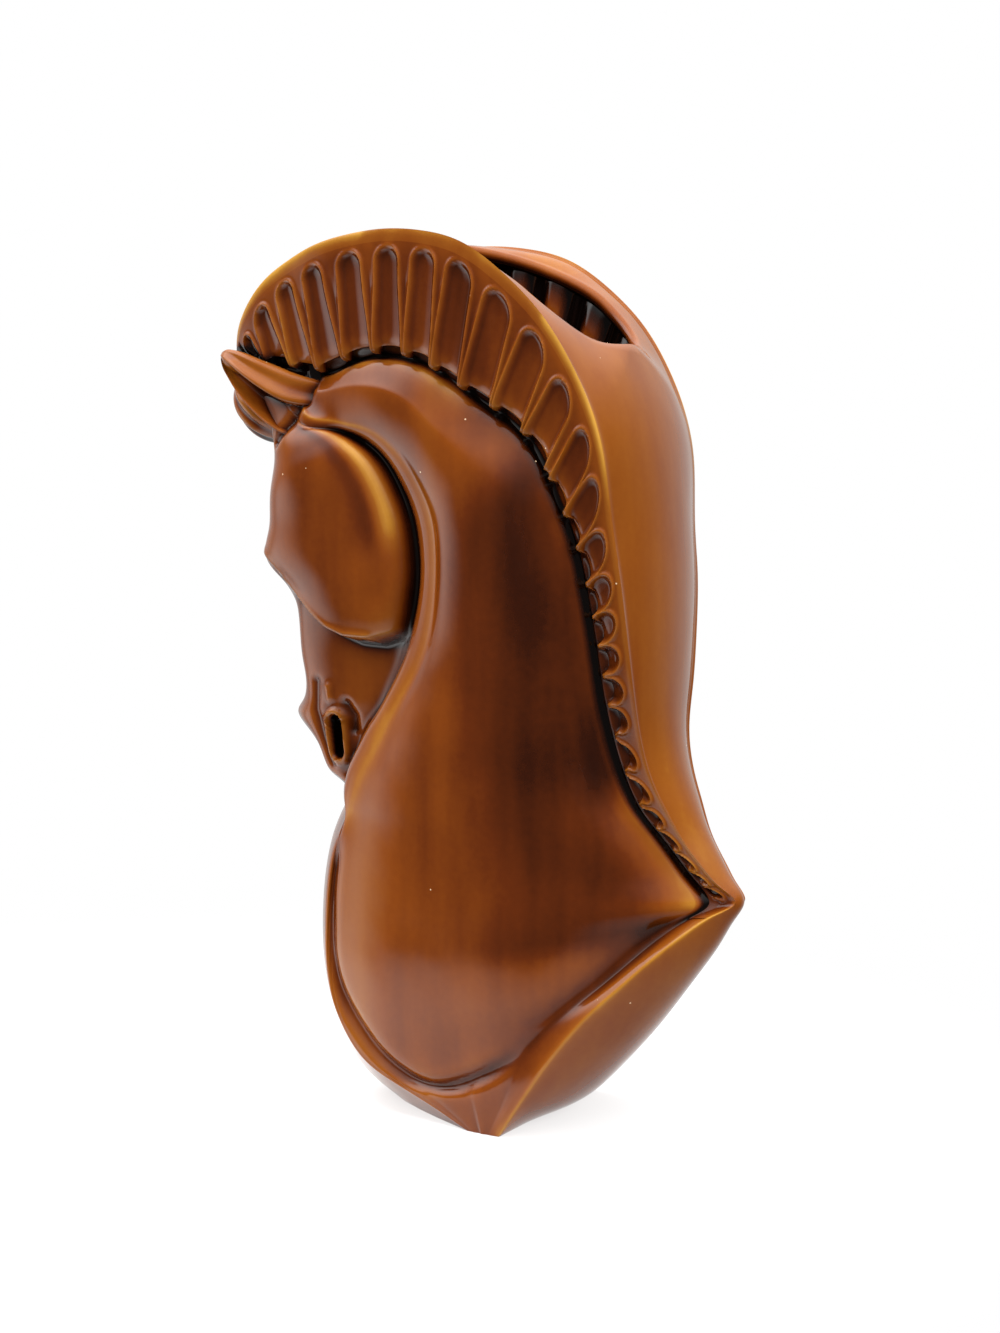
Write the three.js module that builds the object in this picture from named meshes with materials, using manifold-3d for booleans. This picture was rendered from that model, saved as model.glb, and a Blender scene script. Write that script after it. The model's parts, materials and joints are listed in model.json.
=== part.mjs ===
// Horse head vase: a hollow earthenware bust with an arched neck, a tucked head and a fluted crest.
// Millimetres, +Z up. The horse faces -X, its near side is -Y, and Y = 0 is the plane of symmetry.
// The foot stands on Z = 0 and the origin is in the middle of the foot.
import * as THREE from "three";
import { mergeVertices } from "three/addons/utils/BufferGeometryUtils.js";
import Module from "manifold-3d";

const wasm = await Module();
wasm.setup();

// Driving dimensions.
const WALL = 6;
const CREST_WALL = 8;
const PLATE = 3.8;
const JOINT_GAP = 0.3;
const FLOOR = 7;
const FLOOR_BOX = [300, 200, 100];
const ROWS_PER_STATION = 1.25;
const HOLLOW_FROM = 3;
const HOLLOW_TO = 31;
const HOLLOW_COLUMNS = [0, 3, 5, 7, 9, 13, 16, 18, 22, 25, 29, 34];
const MOUTH_ABOVE = 30;
const MOUTH_FRONT = [-27, 304];
const MOUTH_REAR = [63.5, 265];
const MOUTH_DEPTH = 24;
const MOUTH_LEAF = [
  [0, 0], [6, 12], [18, 22], [38, 29], [60, 30], [72, 29], [82, 26], [90.7, 19.6], [96, 11], [98.5, 0],
];
const MANE_FROM = 1.1;
const MANE_TO = 23;
const MANE_LIP = 2;
const MANE_TOP = 2.6;
const MANE_RINGS = 26;
// The mane's face as a share of the crest's width over the groove's: at the groove, and the rise to the crest.
const MANE_FACE = [0.91, 0.07];
const FLUTE_DEPTH = 2;
const FLUTE_HALF = 5.6;
const FLUTE_SHARE = 0.31;
const FLUTE_FROM_CREST = 4.6;
const FLUTE_TAPER = 0.66;
const FLUTE_OVERRUN = 1;
const FLUTE_CUTTER = 12;
const FLUTE_STATIONS = [
  1.75, 2.7, 3.7, 4.9, 6.05, 7.05, 8, 9, 10.05, 11.1, 12.3, 13.3, 14.2, 15, 15.65, 16.3, 17, 17.7, 18.6, 19.5,
  20.3, 21.1, 21.9,
];
const EAR_LINE = [
  [-49, 20, 245], [-57, 22.5, 246.3], [-65, 24, 250], [-73, 25, 254.8], [-81, 25, 260], [-88, 24.5, 264.3],
];
const EAR_TALL = [9, 9.8, 9.2, 7.6, 5.4, 2.4];
const EAR_THICK = [4, 6.4, 6.8, 5.8, 4.2, 2];
const EAR_RAKE = [0.2, 0.98];
const EAR_RINGS = 10;
const EAR_AROUND = 12;
const EAR_SCOOP = [-68, 32, 249.5];
const EAR_SCOOP_SIZE = [11, 4.6, 3.8];
const EAR_SCOOP_TURN = 0.5;
const FORELOCK = [-81, 0, 248];
const FORELOCK_SIZE = [17, 17, 13];
const FORELOCK_TURN = 0.75;
const FORELOCK_ROUND = { around: 18, down: 12 };
const EYE = [-62.5, 14, 181];
const EYE_SIZE = [4.5, 6, 3.6];
const EYE_TURN = 0.5;
const NOSTRIL = [-49.5, 12.5, 124];
const NOSTRIL_SIZE = [3, 4.5, 8.5];
const NOSTRIL_TURN = 0.12;
const SMALL_ROUND = { around: 12, down: 8 };
// Where handles stand between two features, as [share of the way, share of the width's change].
const CHEEK_PLACES = [[0.14, 0.62], [0.36, 0.94], [0.62, 1], [0.86, 0.9], [0.955, 0.66]];
const JOWL_PLACES = [[0.25, 0.12], [0.6, 0.72], [0.86, 0.95]];
const NECK_PLACES = [[0.05, 0.16], [0.14, 0.6], [0.36, 0.93]];
// How far from the groove the neck starts to turn in, and how much earlier and slimmer it does so near the tip.
const NECK_TURN = 15;
const NECK_SHARE = 0.86;
const TIP_STATION = 24;
const TIP_SPREAD = 2.2;
const TIP_TURN = 11;
const TIP_SLIMS = 0.25;
const TIP_RISE = 0.5;
// The neck's roll down into the groove: [share of its reach, rise over the groove].
const SHOULDER_PLACES = [[1, 4.6], [0.53, 3.6], [0.27, 1.5]];
const GROOVE_REACH = 6;
// The crest's side above the groove: [millimetres out, share of the width without a mane, and with one].
const LIP_PLACES = [[0.9, 0.1, 0.25], [1.8, 0.25, 0.8], [3, 0.4, 0.9]];
const EDGE_DRAW = 1.6;
const EDGE_ROLL = 1.8;
const BROW_ROLL = 3;
const CHEST_FROM = 21;
const GLAZE = "#7a3a12";
const GLAZE_ROUGHNESS = 0.12;

// Stations run from the poll, over the face and crest, down to the foot.
// Each line of stations is [x, z, half width] where the section crosses that feature.
const FACE = [
  [-86, 262, 18], [-80, 254, 18.5], [-73, 247, 20], [-69, 240, 21.5], [-67, 231, 22.5], [-67, 224, 23],
  [-68, 216, 24], [-68.5, 209, 24], [-69, 203, 24], [-71, 197, 23.5], [-71, 190.5, 22], [-67, 184, 17.5],
  [-65, 179, 14], [-64, 174, 12], [-64, 166, 11], [-64, 157, 10], [-63, 149, 9.5], [-66, 141, 6],
  [-70, 134.5, 3], [-59, 126, 8], [-54, 116, 7.5], [-45, 111, 9], [-35, 104, 24], [-36.5, 93, 30],
  [-39, 78, 31], [-40, 64, 31], [-40, 52, 31], [-38, 40, 31], [-33, 29, 31], [-25, 19, 31],
  [-13, 12.5, 31.5], [3, 6.6, 32.5], [19.5, 0, 34],
];
const JOWL = [
  [-85.6, 262.4, 17.3], [-76, 255, 19.6], [-63, 249, 23.2], [-52, 240, 26.8], [-41, 237.5, 27.2], [-33, 235.5, 24.8],
  [-26, 232, 24], [-19, 226, 23.5], [-13, 216.5, 23], [-9, 207, 23], [-7, 197, 23], [-6.5, 187, 23],
  [-8, 178, 22.5], [-10, 171, 22], [-13, 164, 20], [-17, 156.5, 18], [-22.5, 147.5, 16.5], [-27.5, 140.5, 15],
  [-33, 134.5, 14], [-37, 128, 12.5], [-41, 120, 11], [-40, 112, 12], [-33.5, 104, 26], [-35, 93, 31.5],
  [-37.5, 78, 32.3], [-38.5, 64, 32.3], [-38.5, 52, 32.3], [-36.5, 40.8, 32.3], [-31.6, 30, 32.3],
  [-23.8, 20.3, 32.3], [-12.2, 13.8, 32.6], [3.8, 7.6, 33.2], [20.1, 0, 34.1],
];
const RIM = [
  [-85.2, 262.8, 17.5], [-73, 257, 20], [-58, 252, 24], [-50, 243, 27], [-40, 240.5, 28], [-31, 239, 29],
  [-21, 236.5, 30], [-10, 229, 31], [-2, 218.5, 31], [3.2, 208, 31], [5, 198, 31], [5, 187, 31],
  [4, 177, 31], [2.5, 169, 31], [0, 161, 31], [-4, 153, 31], [-8.5, 146, 31], [-13, 139, 31],
  [-17, 132, 31], [-21.5, 124.5, 31], [-26, 117, 31], [-29.5, 109, 31], [-31, 103.5, 31], [-32.5, 93, 32],
  [-35, 78, 32.6], [-36, 64, 32.6], [-36, 52, 32.6], [-34, 42, 32.6], [-29.4, 31.6, 32.6], [-22, 22.3, 32.6],
  [-11, 15.8, 32.8], [5.2, 9, 33.4], [21.1, 0, 34.2],
];
const GROOVE = [
  [-85, 263, 16.5], [-74, 261.5, 16], [-60.5, 259.5, 17], [-47.5, 257, 18], [-35.5, 259.5, 21], [-24, 262, 24],
  [-12, 262, 25.5], [0.5, 259, 27], [12, 253, 28], [24, 246, 28], [35, 239, 28], [44.5, 229, 28],
  [51, 216, 28], [55.5, 205, 27], [59, 193, 26], [61.5, 179, 25], [63, 165, 23], [64, 151, 20.5],
  [65.5, 138, 17.5], [68, 125, 14.2], [73, 112, 11.8], [79, 103, 8.8], [85, 94.5, 6.2], [91, 87, 4.2],
  [98.5, 79.8, 3], [92, 77.6, 7], [84.5, 70, 12.3], [76, 60.3, 17.8], [67.5, 50.2, 23], [58, 40.6, 27.6],
  [46.5, 26, 31.8], [37, 11, 34.4], [30, 0, 34.6],
];
const CREST = [
  [-86, 264.5, 18], [-82, 275, 21.5], [-70.5, 287.5, 24.5], [-57, 295, 27], [-43, 299.8, 30], [-27.5, 302.3, 32.3],
  [-12, 303, 34.4], [4, 301.3, 36], [20.5, 296.2, 37.5], [36.5, 285, 38], [50, 271.3, 37.5], [60, 255.5, 36.5],
  [66.3, 241, 35.5], [70, 225, 34], [71.5, 205, 31.5], [73.5, 187, 29.5], [74.5, 168, 26.5], [75, 151, 23],
  [75.5, 136, 19], [78.5, 122, 16.5], [83, 111, 14], [88, 101, 11], [94.5, 92, 8.5], [99.5, 86, 6],
  [104, 81, 4], [98.5, 77, 8.5], [90.8, 71, 14], [81.2, 62, 20.5], [72, 52.4, 26], [62.5, 42.5, 30.5],
  [51.5, 28, 34.5], [41, 12.5, 36], [32.5, 0, 35],
];
// Middle lines of the front and of the back: [x, z]. The back's sinks a little under the mouth, and its rim with it.
const KEEL = [
  [-88, 261.5], [-83, 252], [-77, 245], [-73.5, 239], [-71, 231], [-72, 224], [-73, 216], [-73.5, 209],
  [-74, 203], [-75.5, 197], [-75.5, 190], [-73, 184], [-71, 179], [-70, 174], [-69, 166], [-68, 157],
  [-66, 149], [-68.5, 141], [-72, 134.5], [-62, 125], [-57, 115], [-50, 109], [-52, 102], [-56, 92],
  [-59, 78], [-60, 64], [-59.5, 50], [-57, 36], [-53, 24], [-48, 13], [-42, 5.5], [-37.5, 1.8], [-35, 0],
];
const SPINE = [
  [-87, 267], [-84.5, 278], [-72.5, 290.5], [-58.5, 298.5], [-44.5, 302.8], [-28, 304.6], [-12, 305], [4, 301],
  [20, 292], [39, 284.5], [54.5, 271], [67.5, 259.5], [74, 243], [77.5, 226], [79.5, 205], [80.5, 187],
  [80.5, 168], [80, 151], [80.5, 137], [83, 124], [87, 113.5], [91.5, 103.5], [97, 94], [101.5, 87.5],
  [105.5, 81], [101.5, 73.5], [96, 64.5], [88, 53.5], [77, 39], [67, 27], [54.5, 14], [43.5, 5], [32, 0],
];
// Half widths between those features: the cheek, which is a round disc as far as the brow's edge and a slim
// muzzle after it, and the middle of the neck.
const DISC = [
  18, 20, 23, 26, 29.5, 31.5, 33, 33.5, 33.5, 33.5, 33.5, 33.5, 33, 32, 30, 29, 29, 29, 29, 29, 29, 29, 29,
  29, 29, 29, 29, 29, 29, 29, 29, 29, 29,
];
const MUZZLE = [
  18, 18, 18, 18, 19, 20, 20, 20, 20, 20, 20, 20, 19, 17.5, 16, 15.5, 15, 14, 12.5, 12, 11, 12, 25.5,
  31, 31.8, 31.8, 31.8, 31.8, 31.8, 31.8, 32.2, 33, 34,
];
// The brow's edge from front to back: [x, z].
const BROW = [
  [-73, 194], [-65, 187], [-57, 179], [-48, 171.5], [-41, 166.5], [-33, 163.5], [-23, 163], [-8, 167],
];
const NECK = [
  17, 18.5, 20.5, 24, 27.5, 30.5, 33, 34.5, 36, 37, 38, 38.5, 38.5, 38.5, 38.5, 38.5, 39, 39.5, 40, 40, 40, 40,
  40, 40, 40, 40, 40, 39.5, 38.5, 37, 35.8, 35, 34.5,
];
// How sharp the front is: 2 is round, nearer 1 is a keel.
const FRONT_ROUND = 2;
const CHEST_KEEL = 1.35;

// A smooth line through rows of numbers, read at a station that may fall between two rows.
function along(rows, station) {
  const last = rows.length - 1;
  const i = Math.min(Math.floor(station), last - 1);
  const t = station - i;
  const row = (k) => [rows[Math.max(0, Math.min(last, k))]].flat();
  const [a, b, c, d] = [row(i - 1), row(i), row(i + 1), row(i + 2)];
  return b.map((_, n) => {
    const m0 = (c[n] - a[n]) / 2;
    const m1 = (d[n] - b[n]) / 2;
    const s = t * t;
    const q = s * t;
    return (2 * q - 3 * s + 1) * b[n] + (q - 2 * s + t) * m0 + (3 * s - 2 * q) * c[n] + (q - s) * m1;
  });
}

const mix = (a, b, t) => a.map((v, n) => v + (b[n] - v) * t);

const clamp = (value, low, high) => Math.min(high, Math.max(low, value));

// 0 below low, 1 above high, and a soft step between.
function ramp(value, low, high) {
  const t = clamp((value - low) / (high - low), 0, 1);
  return t * t * (3 - 2 * t);
}

// 0 on the disc, 1 on the muzzle, with a short step over the brow's edge.
function muzzleShare(x, z) {
  let i = 1;
  while (i < BROW.length - 1 && BROW[i][0] < x) i++;
  const [[ax, az], [bx, bz]] = [BROW[i - 1], BROW[i]];
  const edge = az + (bz - az) * clamp((x - ax) / (bx - ax), 0, 1);
  return ramp(edge - z, -BROW_ROLL, BROW_ROLL / 2);
}

// The handles of the near half of a section, from the middle of the front to the middle of the back.
function handles(u) {
  const [face, jowl, rim, groove, edge] = [FACE, JOWL, RIM, GROOVE, CREST].map((line) => along(line, u));
  const [disc, muzzle, neck] = [DISC, MUZZLE, NECK].map((line) => along(line, u)[0]);
  const keel = along(KEEL, u);
  const spine = along(SPINE, u);
  const apart = (a, b) => Math.hypot(b[0] - a[0], b[1] - a[1]);
  const place = (a, b, t) => mix(a.slice(0, 2), b.slice(0, 2), t);
  const width = (a, b, t) => a[2] + (b[2] - a[2]) * t;
  const draw = (EDGE_DRAW * ramp(u, 0, 2) * (1 - ramp(u, 23, 25))) / Math.max(apart(groove, edge), 1);
  const crest = [...place(groove, edge, 1 + draw), edge[2]];
  const power = u > CHEST_FROM ? CHEST_KEEL : FRONT_ROUND;
  const points = [[...keel, 0]];
  for (const q of [0.4, 0.75]) points.push([...place(face, keel, 1 - Math.pow(q, power)), face[2] * q]);
  points.push(face);
  for (const [t, k] of CHEEK_PLACES) {
    const [x, z] = place(face, jowl, t);
    const side = t < 0.5 ? face[2] : jowl[2];
    const full = disc + (muzzle - disc) * muzzleShare(x, z);
    points.push([x, z, side + (full - side) * k]);
  }
  points.push(jowl);
  for (const [t, k] of JOWL_PLACES) points.push([...place(jowl, rim, t), width(jowl, rim, k)]);
  points.push(rim);
  const reach = Math.max(apart(rim, groove), 1);
  const atTip = Math.exp(-Math.pow((u - TIP_STATION) / TIP_SPREAD, 2));
  const turn = Math.min(0.4, (NECK_TURN + TIP_TURN * atTip) / reach);
  const nearTip = [[0.58, 1 - 0.05 * atTip], [1 - turn, NECK_SHARE - TIP_SLIMS * atTip]];
  for (const [t, k] of [...NECK_PLACES, ...nearTip]) {
    const side = t < 0.5 ? rim[2] : groove[2] + 4;
    points.push([...place(rim, groove, t), side + (neck - side) * k]);
  }
  const maned = ramp(u, 0.2, 0.9) * (1 - ramp(u, 24.5, 26.5));
  const shoulder = Math.min(0.14, GROOVE_REACH / reach);
  const rise = (0.62 + 0.38 * maned) * Math.min(1, reach / 20) * (1 - ramp(u, 29.2, 30.3)) * (1 + TIP_RISE * atTip);
  for (const [t, lift] of SHOULDER_PLACES) points.push([...place(groove, rim, shoulder * t), groove[2] + lift * rise]);
  points.push(groove);
  const depth = Math.max(apart(groove, crest), 0.5);
  for (const [far, bare, lip] of LIP_PLACES) {
    const t = Math.min(0.16, 1 / depth) * far;
    points.push([...place(groove, crest, t), width(groove, crest, bare + (lip - bare) * maned)]);
  }
  for (const t of [0.5, 0.8]) points.push([...place(groove, crest, t), width(groove, crest, 0.93 + 0.05 * t)]);
  points.push([...place(crest, groove, Math.min(0.16, EDGE_ROLL / depth)), crest[2]]);
  points.push(crest);
  for (const q of [0.955, 0.85, 0.6, 0.3]) points.push([...place(edge, spine, 1 - q * q), edge[2] * q]);
  points.push([...spine, 0]);
  return points;
}

// The near half of a section as [x, z, half width]: the smooth curve that the handles pull, read beside each.
function halfSection(u) {
  const net = handles(u);
  const across = ([x, z, w]) => [x, z, -w];
  const closed = [across(net[1]), ...net, across(net[net.length - 2])];
  return net.map((p, i) => p.map((v, n) => (closed[i][n] + 4 * v + closed[i + 2][n]) / 6));
}

// A closed solid through rings of [x, y, z] points, each ring with as many points, with flat ends.
function loft(rings) {
  const size = rings[0].length;
  const position = rings.flat(2);
  const index = [];
  for (let r = 0; r + 1 < rings.length; r++)
    for (let i = 0; i < size; i++) {
      const a = r * size + i;
      const b = r * size + ((i + 1) % size);
      index.push(a, b, b + size, a, b + size, a + size);
    }
  const cap = (r, turn) => {
    const flat = [];
    const centre = new THREE.Vector3();
    const normal = new THREE.Vector3();
    const ring = rings[r].map((p) => new THREE.Vector3(...p));
    ring.forEach((p) => centre.add(p));
    centre.divideScalar(size);
    ring.forEach((p, i) => normal.add(p.clone().sub(centre).cross(ring[(i + 1) % size].clone().sub(centre))));
    normal.normalize();
    const side = new THREE.Vector3(0, 1, 0);
    const up = normal.clone().cross(side).normalize();
    const across = up.clone().cross(normal).normalize();
    ring.forEach((p) => flat.push(new THREE.Vector2(p.clone().sub(centre).dot(across), p.clone().sub(centre).dot(up))));
    for (const [a, b, c] of THREE.ShapeUtils.triangulateShape(flat, [])) {
      const t = [r * size + a, r * size + b, r * size + c];
      index.push(...(turn ? t.reverse() : t));
    }
  };
  cap(0, true);
  cap(rings.length - 1, false);
  return solid(position, index);
}

// A manifold solid from plain positions and triangles, turned to face outwards.
function solid(position, index) {
  const geometry = new THREE.BufferGeometry();
  geometry.setAttribute("position", new THREE.Float32BufferAttribute(position, 3));
  geometry.setIndex(index);
  const merged = mergeVertices(geometry, 1e-4);
  const make = (triVerts) =>
    new wasm.Manifold(new wasm.Mesh({ numProp: 3, vertProperties: merged.attributes.position.array, triVerts }));
  const first = make(new Uint32Array(merged.index.array));
  if (first.volume() > 0) return first;
  const turned = new Uint32Array(merged.index.array);
  for (let i = 0; i < turned.length; i += 3) [turned[i + 1], turned[i + 2]] = [turned[i + 2], turned[i + 1]];
  return make(turned);
}

function ringOf(half) {
  const near = half.map(([x, z, w]) => [x, -w, z]);
  const far = half.slice(1, -1).reverse().map(([x, z, w]) => [x, w, z]);
  return [...near, ...far];
}

const LAST = FACE.length - 1;

function outerSolid() {
  const rings = [];
  const steps = Math.round(LAST * ROWS_PER_STATION);
  for (let i = 0; i <= steps; i++) rings.push(ringOf(halfSection((LAST * i) / steps)));
  return loft(rings);
}

// The hollow: the section drawn back by the wall, read under the outer features so that it follows them.
function hollowSection(u) {
  const outside = halfSection(u);
  const run = [0];
  for (let i = 1; i < outside.length; i++)
    run.push(run[i - 1] + Math.hypot(outside[i][0] - outside[i - 1][0], outside[i][1] - outside[i - 1][1]));
  const total = run[run.length - 1];
  const at = (a) => {
    let i = 1;
    while (i < run.length - 1 && run[i] < a) i++;
    const span = Math.max(run[i] - run[i - 1], 1e-6);
    return mix(outside[i - 1], outside[i], Math.min(1, Math.max(0, (a - run[i - 1]) / span)));
  };
  const first = WALL + 1;
  const last = total - WALL - 2;
  const places = HOLLOW_COLUMNS.map((i, n) => {
    const low = first + n * 0.6;
    const high = last - (HOLLOW_COLUMNS.length - 1 - n) * 0.6;
    return Math.max(low, Math.min(high, run[i]));
  });
  for (let n = 1; n < places.length; n++) places[n] = Math.max(places[n], places[n - 1] + 0.5);
  return places.map((a, n) => {
    const [x, z] = at(a);
    let width = Infinity;
    for (let d = -WALL; d <= WALL; d += 1)
      width = Math.min(width, at(a + d)[2] - Math.sqrt(WALL * WALL - d * d));
    const crestward = n > HOLLOW_COLUMNS.length - 4 ? CREST_WALL - WALL : 0;
    const end = n === 0 || n === places.length - 1;
    return [x, z, end ? 0 : Math.max(width - crestward, 1.2)];
  });
}

function hollowSolid() {
  const rings = [];
  for (let u = HOLLOW_FROM; u <= HOLLOW_TO; u += 1) rings.push(ringOf(hollowSection(u)));
  const below = new THREE.BoxGeometry(...FLOOR_BOX);
  below.translate(0, 0, FLOOR - FLOOR_BOX[2] / 2);
  return loft(rings).subtract(plain(below));
}

// A three.js geometry as a solid.
function plain(geometry) {
  const bare = geometry.clone();
  bare.deleteAttribute("normal");
  bare.deleteAttribute("uv");
  const merged = mergeVertices(bare, 1e-4);
  return solid([...merged.attributes.position.array], [...merged.index.array]);
}

// The mouth: a leaf shape in the sloping plane of the top, driven through the crest.
function mouthSolid() {
  const leaf = new THREE.Shape();
  const right = new THREE.SplineCurve(MOUTH_LEAF.map(([p, w]) => new THREE.Vector2(p, w))).getPoints(14);
  const left = right.slice(1, -1).reverse().map((p) => new THREE.Vector2(p.x, -p.y));
  leaf.setFromPoints([...right, ...left]);
  const cutter = new THREE.ExtrudeGeometry(leaf, { depth: MOUTH_DEPTH + MOUTH_ABOVE, bevelEnabled: false });
  const [fx, fz] = MOUTH_FRONT;
  const slope = Math.atan2(MOUTH_FRONT[1] - MOUTH_REAR[1], MOUTH_REAR[0] - MOUTH_FRONT[0]);
  cutter.translate(0, 0, -MOUTH_DEPTH);
  cutter.rotateY(slope);
  cutter.translate(fx, 0, fz);
  return plain(cutter);
}

// One side's mane plate between two stations: side is -1 for the near side, and grow widens it for its pocket.
function maneSolid(side, grow, skin) {
  const rings = [];
  const steps = MANE_RINGS;
  for (let i = 0; i <= steps; i++) {
    const end = i === 0 ? -grow / 12 : i === steps ? grow / 7 : 0;
    const u = MANE_FROM + ((MANE_TO - MANE_FROM) * i) / steps + end;
    const groove = along(GROOVE, u);
    const crest = along(CREST, u);
    const depth = Math.hypot(crest[0] - groove[0], crest[1] - groove[1]);
    const low = (MANE_LIP - grow) / depth;
    const high = 1 - (MANE_TOP - grow) / depth;
    const face = (t) => groove[2] + (crest[2] - groove[2]) * (MANE_FACE[0] + MANE_FACE[1] * t);
    const place = (t, w) => {
      const [x, z] = mix(groove, crest, t);
      return [x, side * w, z];
    };
    const back = Math.min(PLATE, crest[2] * 0.45) + grow;
    rings.push([
      place(low, face(low) + skin),
      place((low + high) / 2, face(0.5) + skin),
      place(high, face(high) + skin),
      place(high, face(high) - back),
      place(low, face(low) - back),
    ]);
  }
  return loft(rings);
}

// A flute: a rounded slot sunk into the mane's face along the station's line.
function fluteSolid(side, u) {
  const groove = along(GROOVE, u);
  const crest = along(CREST, u);
  const depth = Math.hypot(crest[0] - groove[0], crest[1] - groove[1]);
  const ahead = along(CREST, u + 0.3);
  const behind = along(CREST, u - 0.3);
  const pitch = Math.hypot(ahead[0] - behind[0], ahead[1] - behind[1]) / 0.6;
  const wide = Math.min(FLUTE_HALF, FLUTE_SHARE * pitch, 0.32 * depth);
  const narrow = wide * FLUTE_TAPER;
  const top = depth - Math.min(FLUTE_FROM_CREST, depth * 0.42) - wide;
  const foot = MANE_LIP - FLUTE_OVERRUN;
  const shape = new THREE.Shape();
  shape.absarc(0, top, wide, 0, Math.PI, false);
  shape.absarc(0, Math.min(foot, top - 0.3), narrow, Math.PI, 2 * Math.PI, false);
  const slot = new THREE.ExtrudeGeometry(shape, { depth: FLUTE_CUTTER, bevelEnabled: false, curveSegments: 3 });
  const dx = (crest[0] - groove[0]) / depth;
  const dz = (crest[1] - groove[1]) / depth;
  const w = groove[2] + (crest[2] - groove[2]) * MANE_FACE[0] - FLUTE_DEPTH;
  const turn = new THREE.Matrix4().makeBasis(
    new THREE.Vector3(dz * side, 0, -dx * side),
    new THREE.Vector3(dx, 0, dz),
    new THREE.Vector3(0, side, 0),
  );
  turn.setPosition(groove[0], side * w, groove[1]);
  slot.applyMatrix4(turn);
  return plain(slot);
}

// A place on the near side (-1) or the far side (1).
const sided = ([x, y, z], side) => [x, side * y, z];

// A ball scaled to three half sizes, turned about Y and moved into place.
function pebble([x, y, z], [a, b, c], turn, { around, down }) {
  const ball = new THREE.SphereGeometry(1, around, down);
  ball.scale(a, b, c);
  ball.rotateY(turn);
  ball.translate(x, y, z);
  return plain(ball);
}

// An ear: rings along a bent line from its root to its tip, with its inside scooped out.
function earSolid(side) {
  const line = new THREE.CatmullRomCurve3(EAR_LINE.map((p) => new THREE.Vector3(...p)));
  const rings = [];
  for (let i = 0; i <= EAR_RINGS; i++) {
    const t = i / EAR_RINGS;
    const at = line.getPoint(t);
    const [tall, thick] = [EAR_TALL, EAR_THICK].map((sizes) => along(sizes, t * (sizes.length - 1))[0]);
    const ring = [];
    for (let k = 0; k < EAR_AROUND; k++) {
      const a = (k / EAR_AROUND) * 2 * Math.PI;
      const lift = tall * Math.sin(a);
      ring.push([at.x + EAR_RAKE[0] * lift, side * (at.y + thick * Math.cos(a)), at.z + EAR_RAKE[1] * lift]);
    }
    rings.push(ring);
  }
  return loft(rings).subtract(pebble(sided(EAR_SCOOP, side), EAR_SCOOP_SIZE, EAR_SCOOP_TURN, SMALL_ROUND));
}

// A solid with a thin gap left round a neighbour: the neighbour, and copies of it moved by the gap, come off.
function clear(piece, neighbour) {
  const g = JOINT_GAP;
  const moves = [[0, 0, 0], [0, -g, 0], [0, g, 0], [-g, 0, -g]];
  return moves.reduce((left, move) => left.subtract(neighbour.translate(move)), piece);
}

const largest = (s) => s.decompose().sort((a, b) => b.volume() - a.volume())[0];

const outer = outerSolid();
const eyes = [-1, 1].map((side) => pebble(sided(EYE, side), EYE_SIZE, EYE_TURN, SMALL_ROUND));
const nostrils = [-1, 1].map((side) => pebble(sided(NOSTRIL, side), NOSTRIL_SIZE, NOSTRIL_TURN, SMALL_ROUND));
const planes = [-1, 1].map((side) => maneSolid(side, 0, 0));
const pockets = [-1, 1].map((side) => maneSolid(side, JOINT_GAP, 4));
let shell = eyes.reduce((s, e) => s.add(e), outer);
shell = nostrils.reduce((s, n) => s.subtract(n), shell);

shell = shell.subtract(hollowSolid()).subtract(mouthSolid());
shell = pockets.reduce((s, p) => s.subtract(p), shell);

const manes = [-1, 1].map((side, n) => {
  let mane = planes[n];
  for (const u of FLUTE_STATIONS) mane = mane.subtract(fluteSolid(side, u));
  return largest(mane);
});
const ears = [-1, 1].map((side, n) => largest(clear(clear(earSolid(side), outer), planes[n])));
let lock = pebble(FORELOCK, FORELOCK_SIZE, FORELOCK_TURN, FORELOCK_ROUND);
lock = largest(clear(clear(clear(lock, outer), earSolid(-1)), earSolid(1)));

function toMesh(name, piece, colour, roughness) {
  const { vertProperties, triVerts } = piece.getMesh();
  const geometry = new THREE.BufferGeometry();
  geometry.setAttribute("position", new THREE.BufferAttribute(new Float32Array(vertProperties), 3));
  geometry.setIndex(new THREE.BufferAttribute(new Uint32Array(triVerts), 1));
  geometry.computeVertexNormals();
  const mesh = new THREE.Mesh(geometry, new THREE.MeshStandardMaterial({ color: colour, roughness, metalness: 0 }));
  mesh.name = name;
  return mesh;
}

const vase = new THREE.Group();
vase.add(toMesh("body", largest(shell), GLAZE, GLAZE_ROUGHNESS));
vase.add(toMesh("left_mane", manes[0], GLAZE, GLAZE_ROUGHNESS));
vase.add(toMesh("right_mane", manes[1], GLAZE, GLAZE_ROUGHNESS));
vase.add(toMesh("left_ear", ears[0], GLAZE, GLAZE_ROUGHNESS));
vase.add(toMesh("right_ear", ears[1], GLAZE, GLAZE_ROUGHNESS));
vase.add(toMesh("forelock", lock, GLAZE, GLAZE_ROUGHNESS));
export default vase;
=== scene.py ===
# %% [markdown]
# A glazed horse head vase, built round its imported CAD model.
# The real object is one hollow casting in red earthenware under a treacle-brown glaze.
# The lesson goes from the feature lines, to the skin that they carry, to the flutes of the crest,
# to the ears and forelock, and then to the glaze, the light and the camera.

import json
import math

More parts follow.
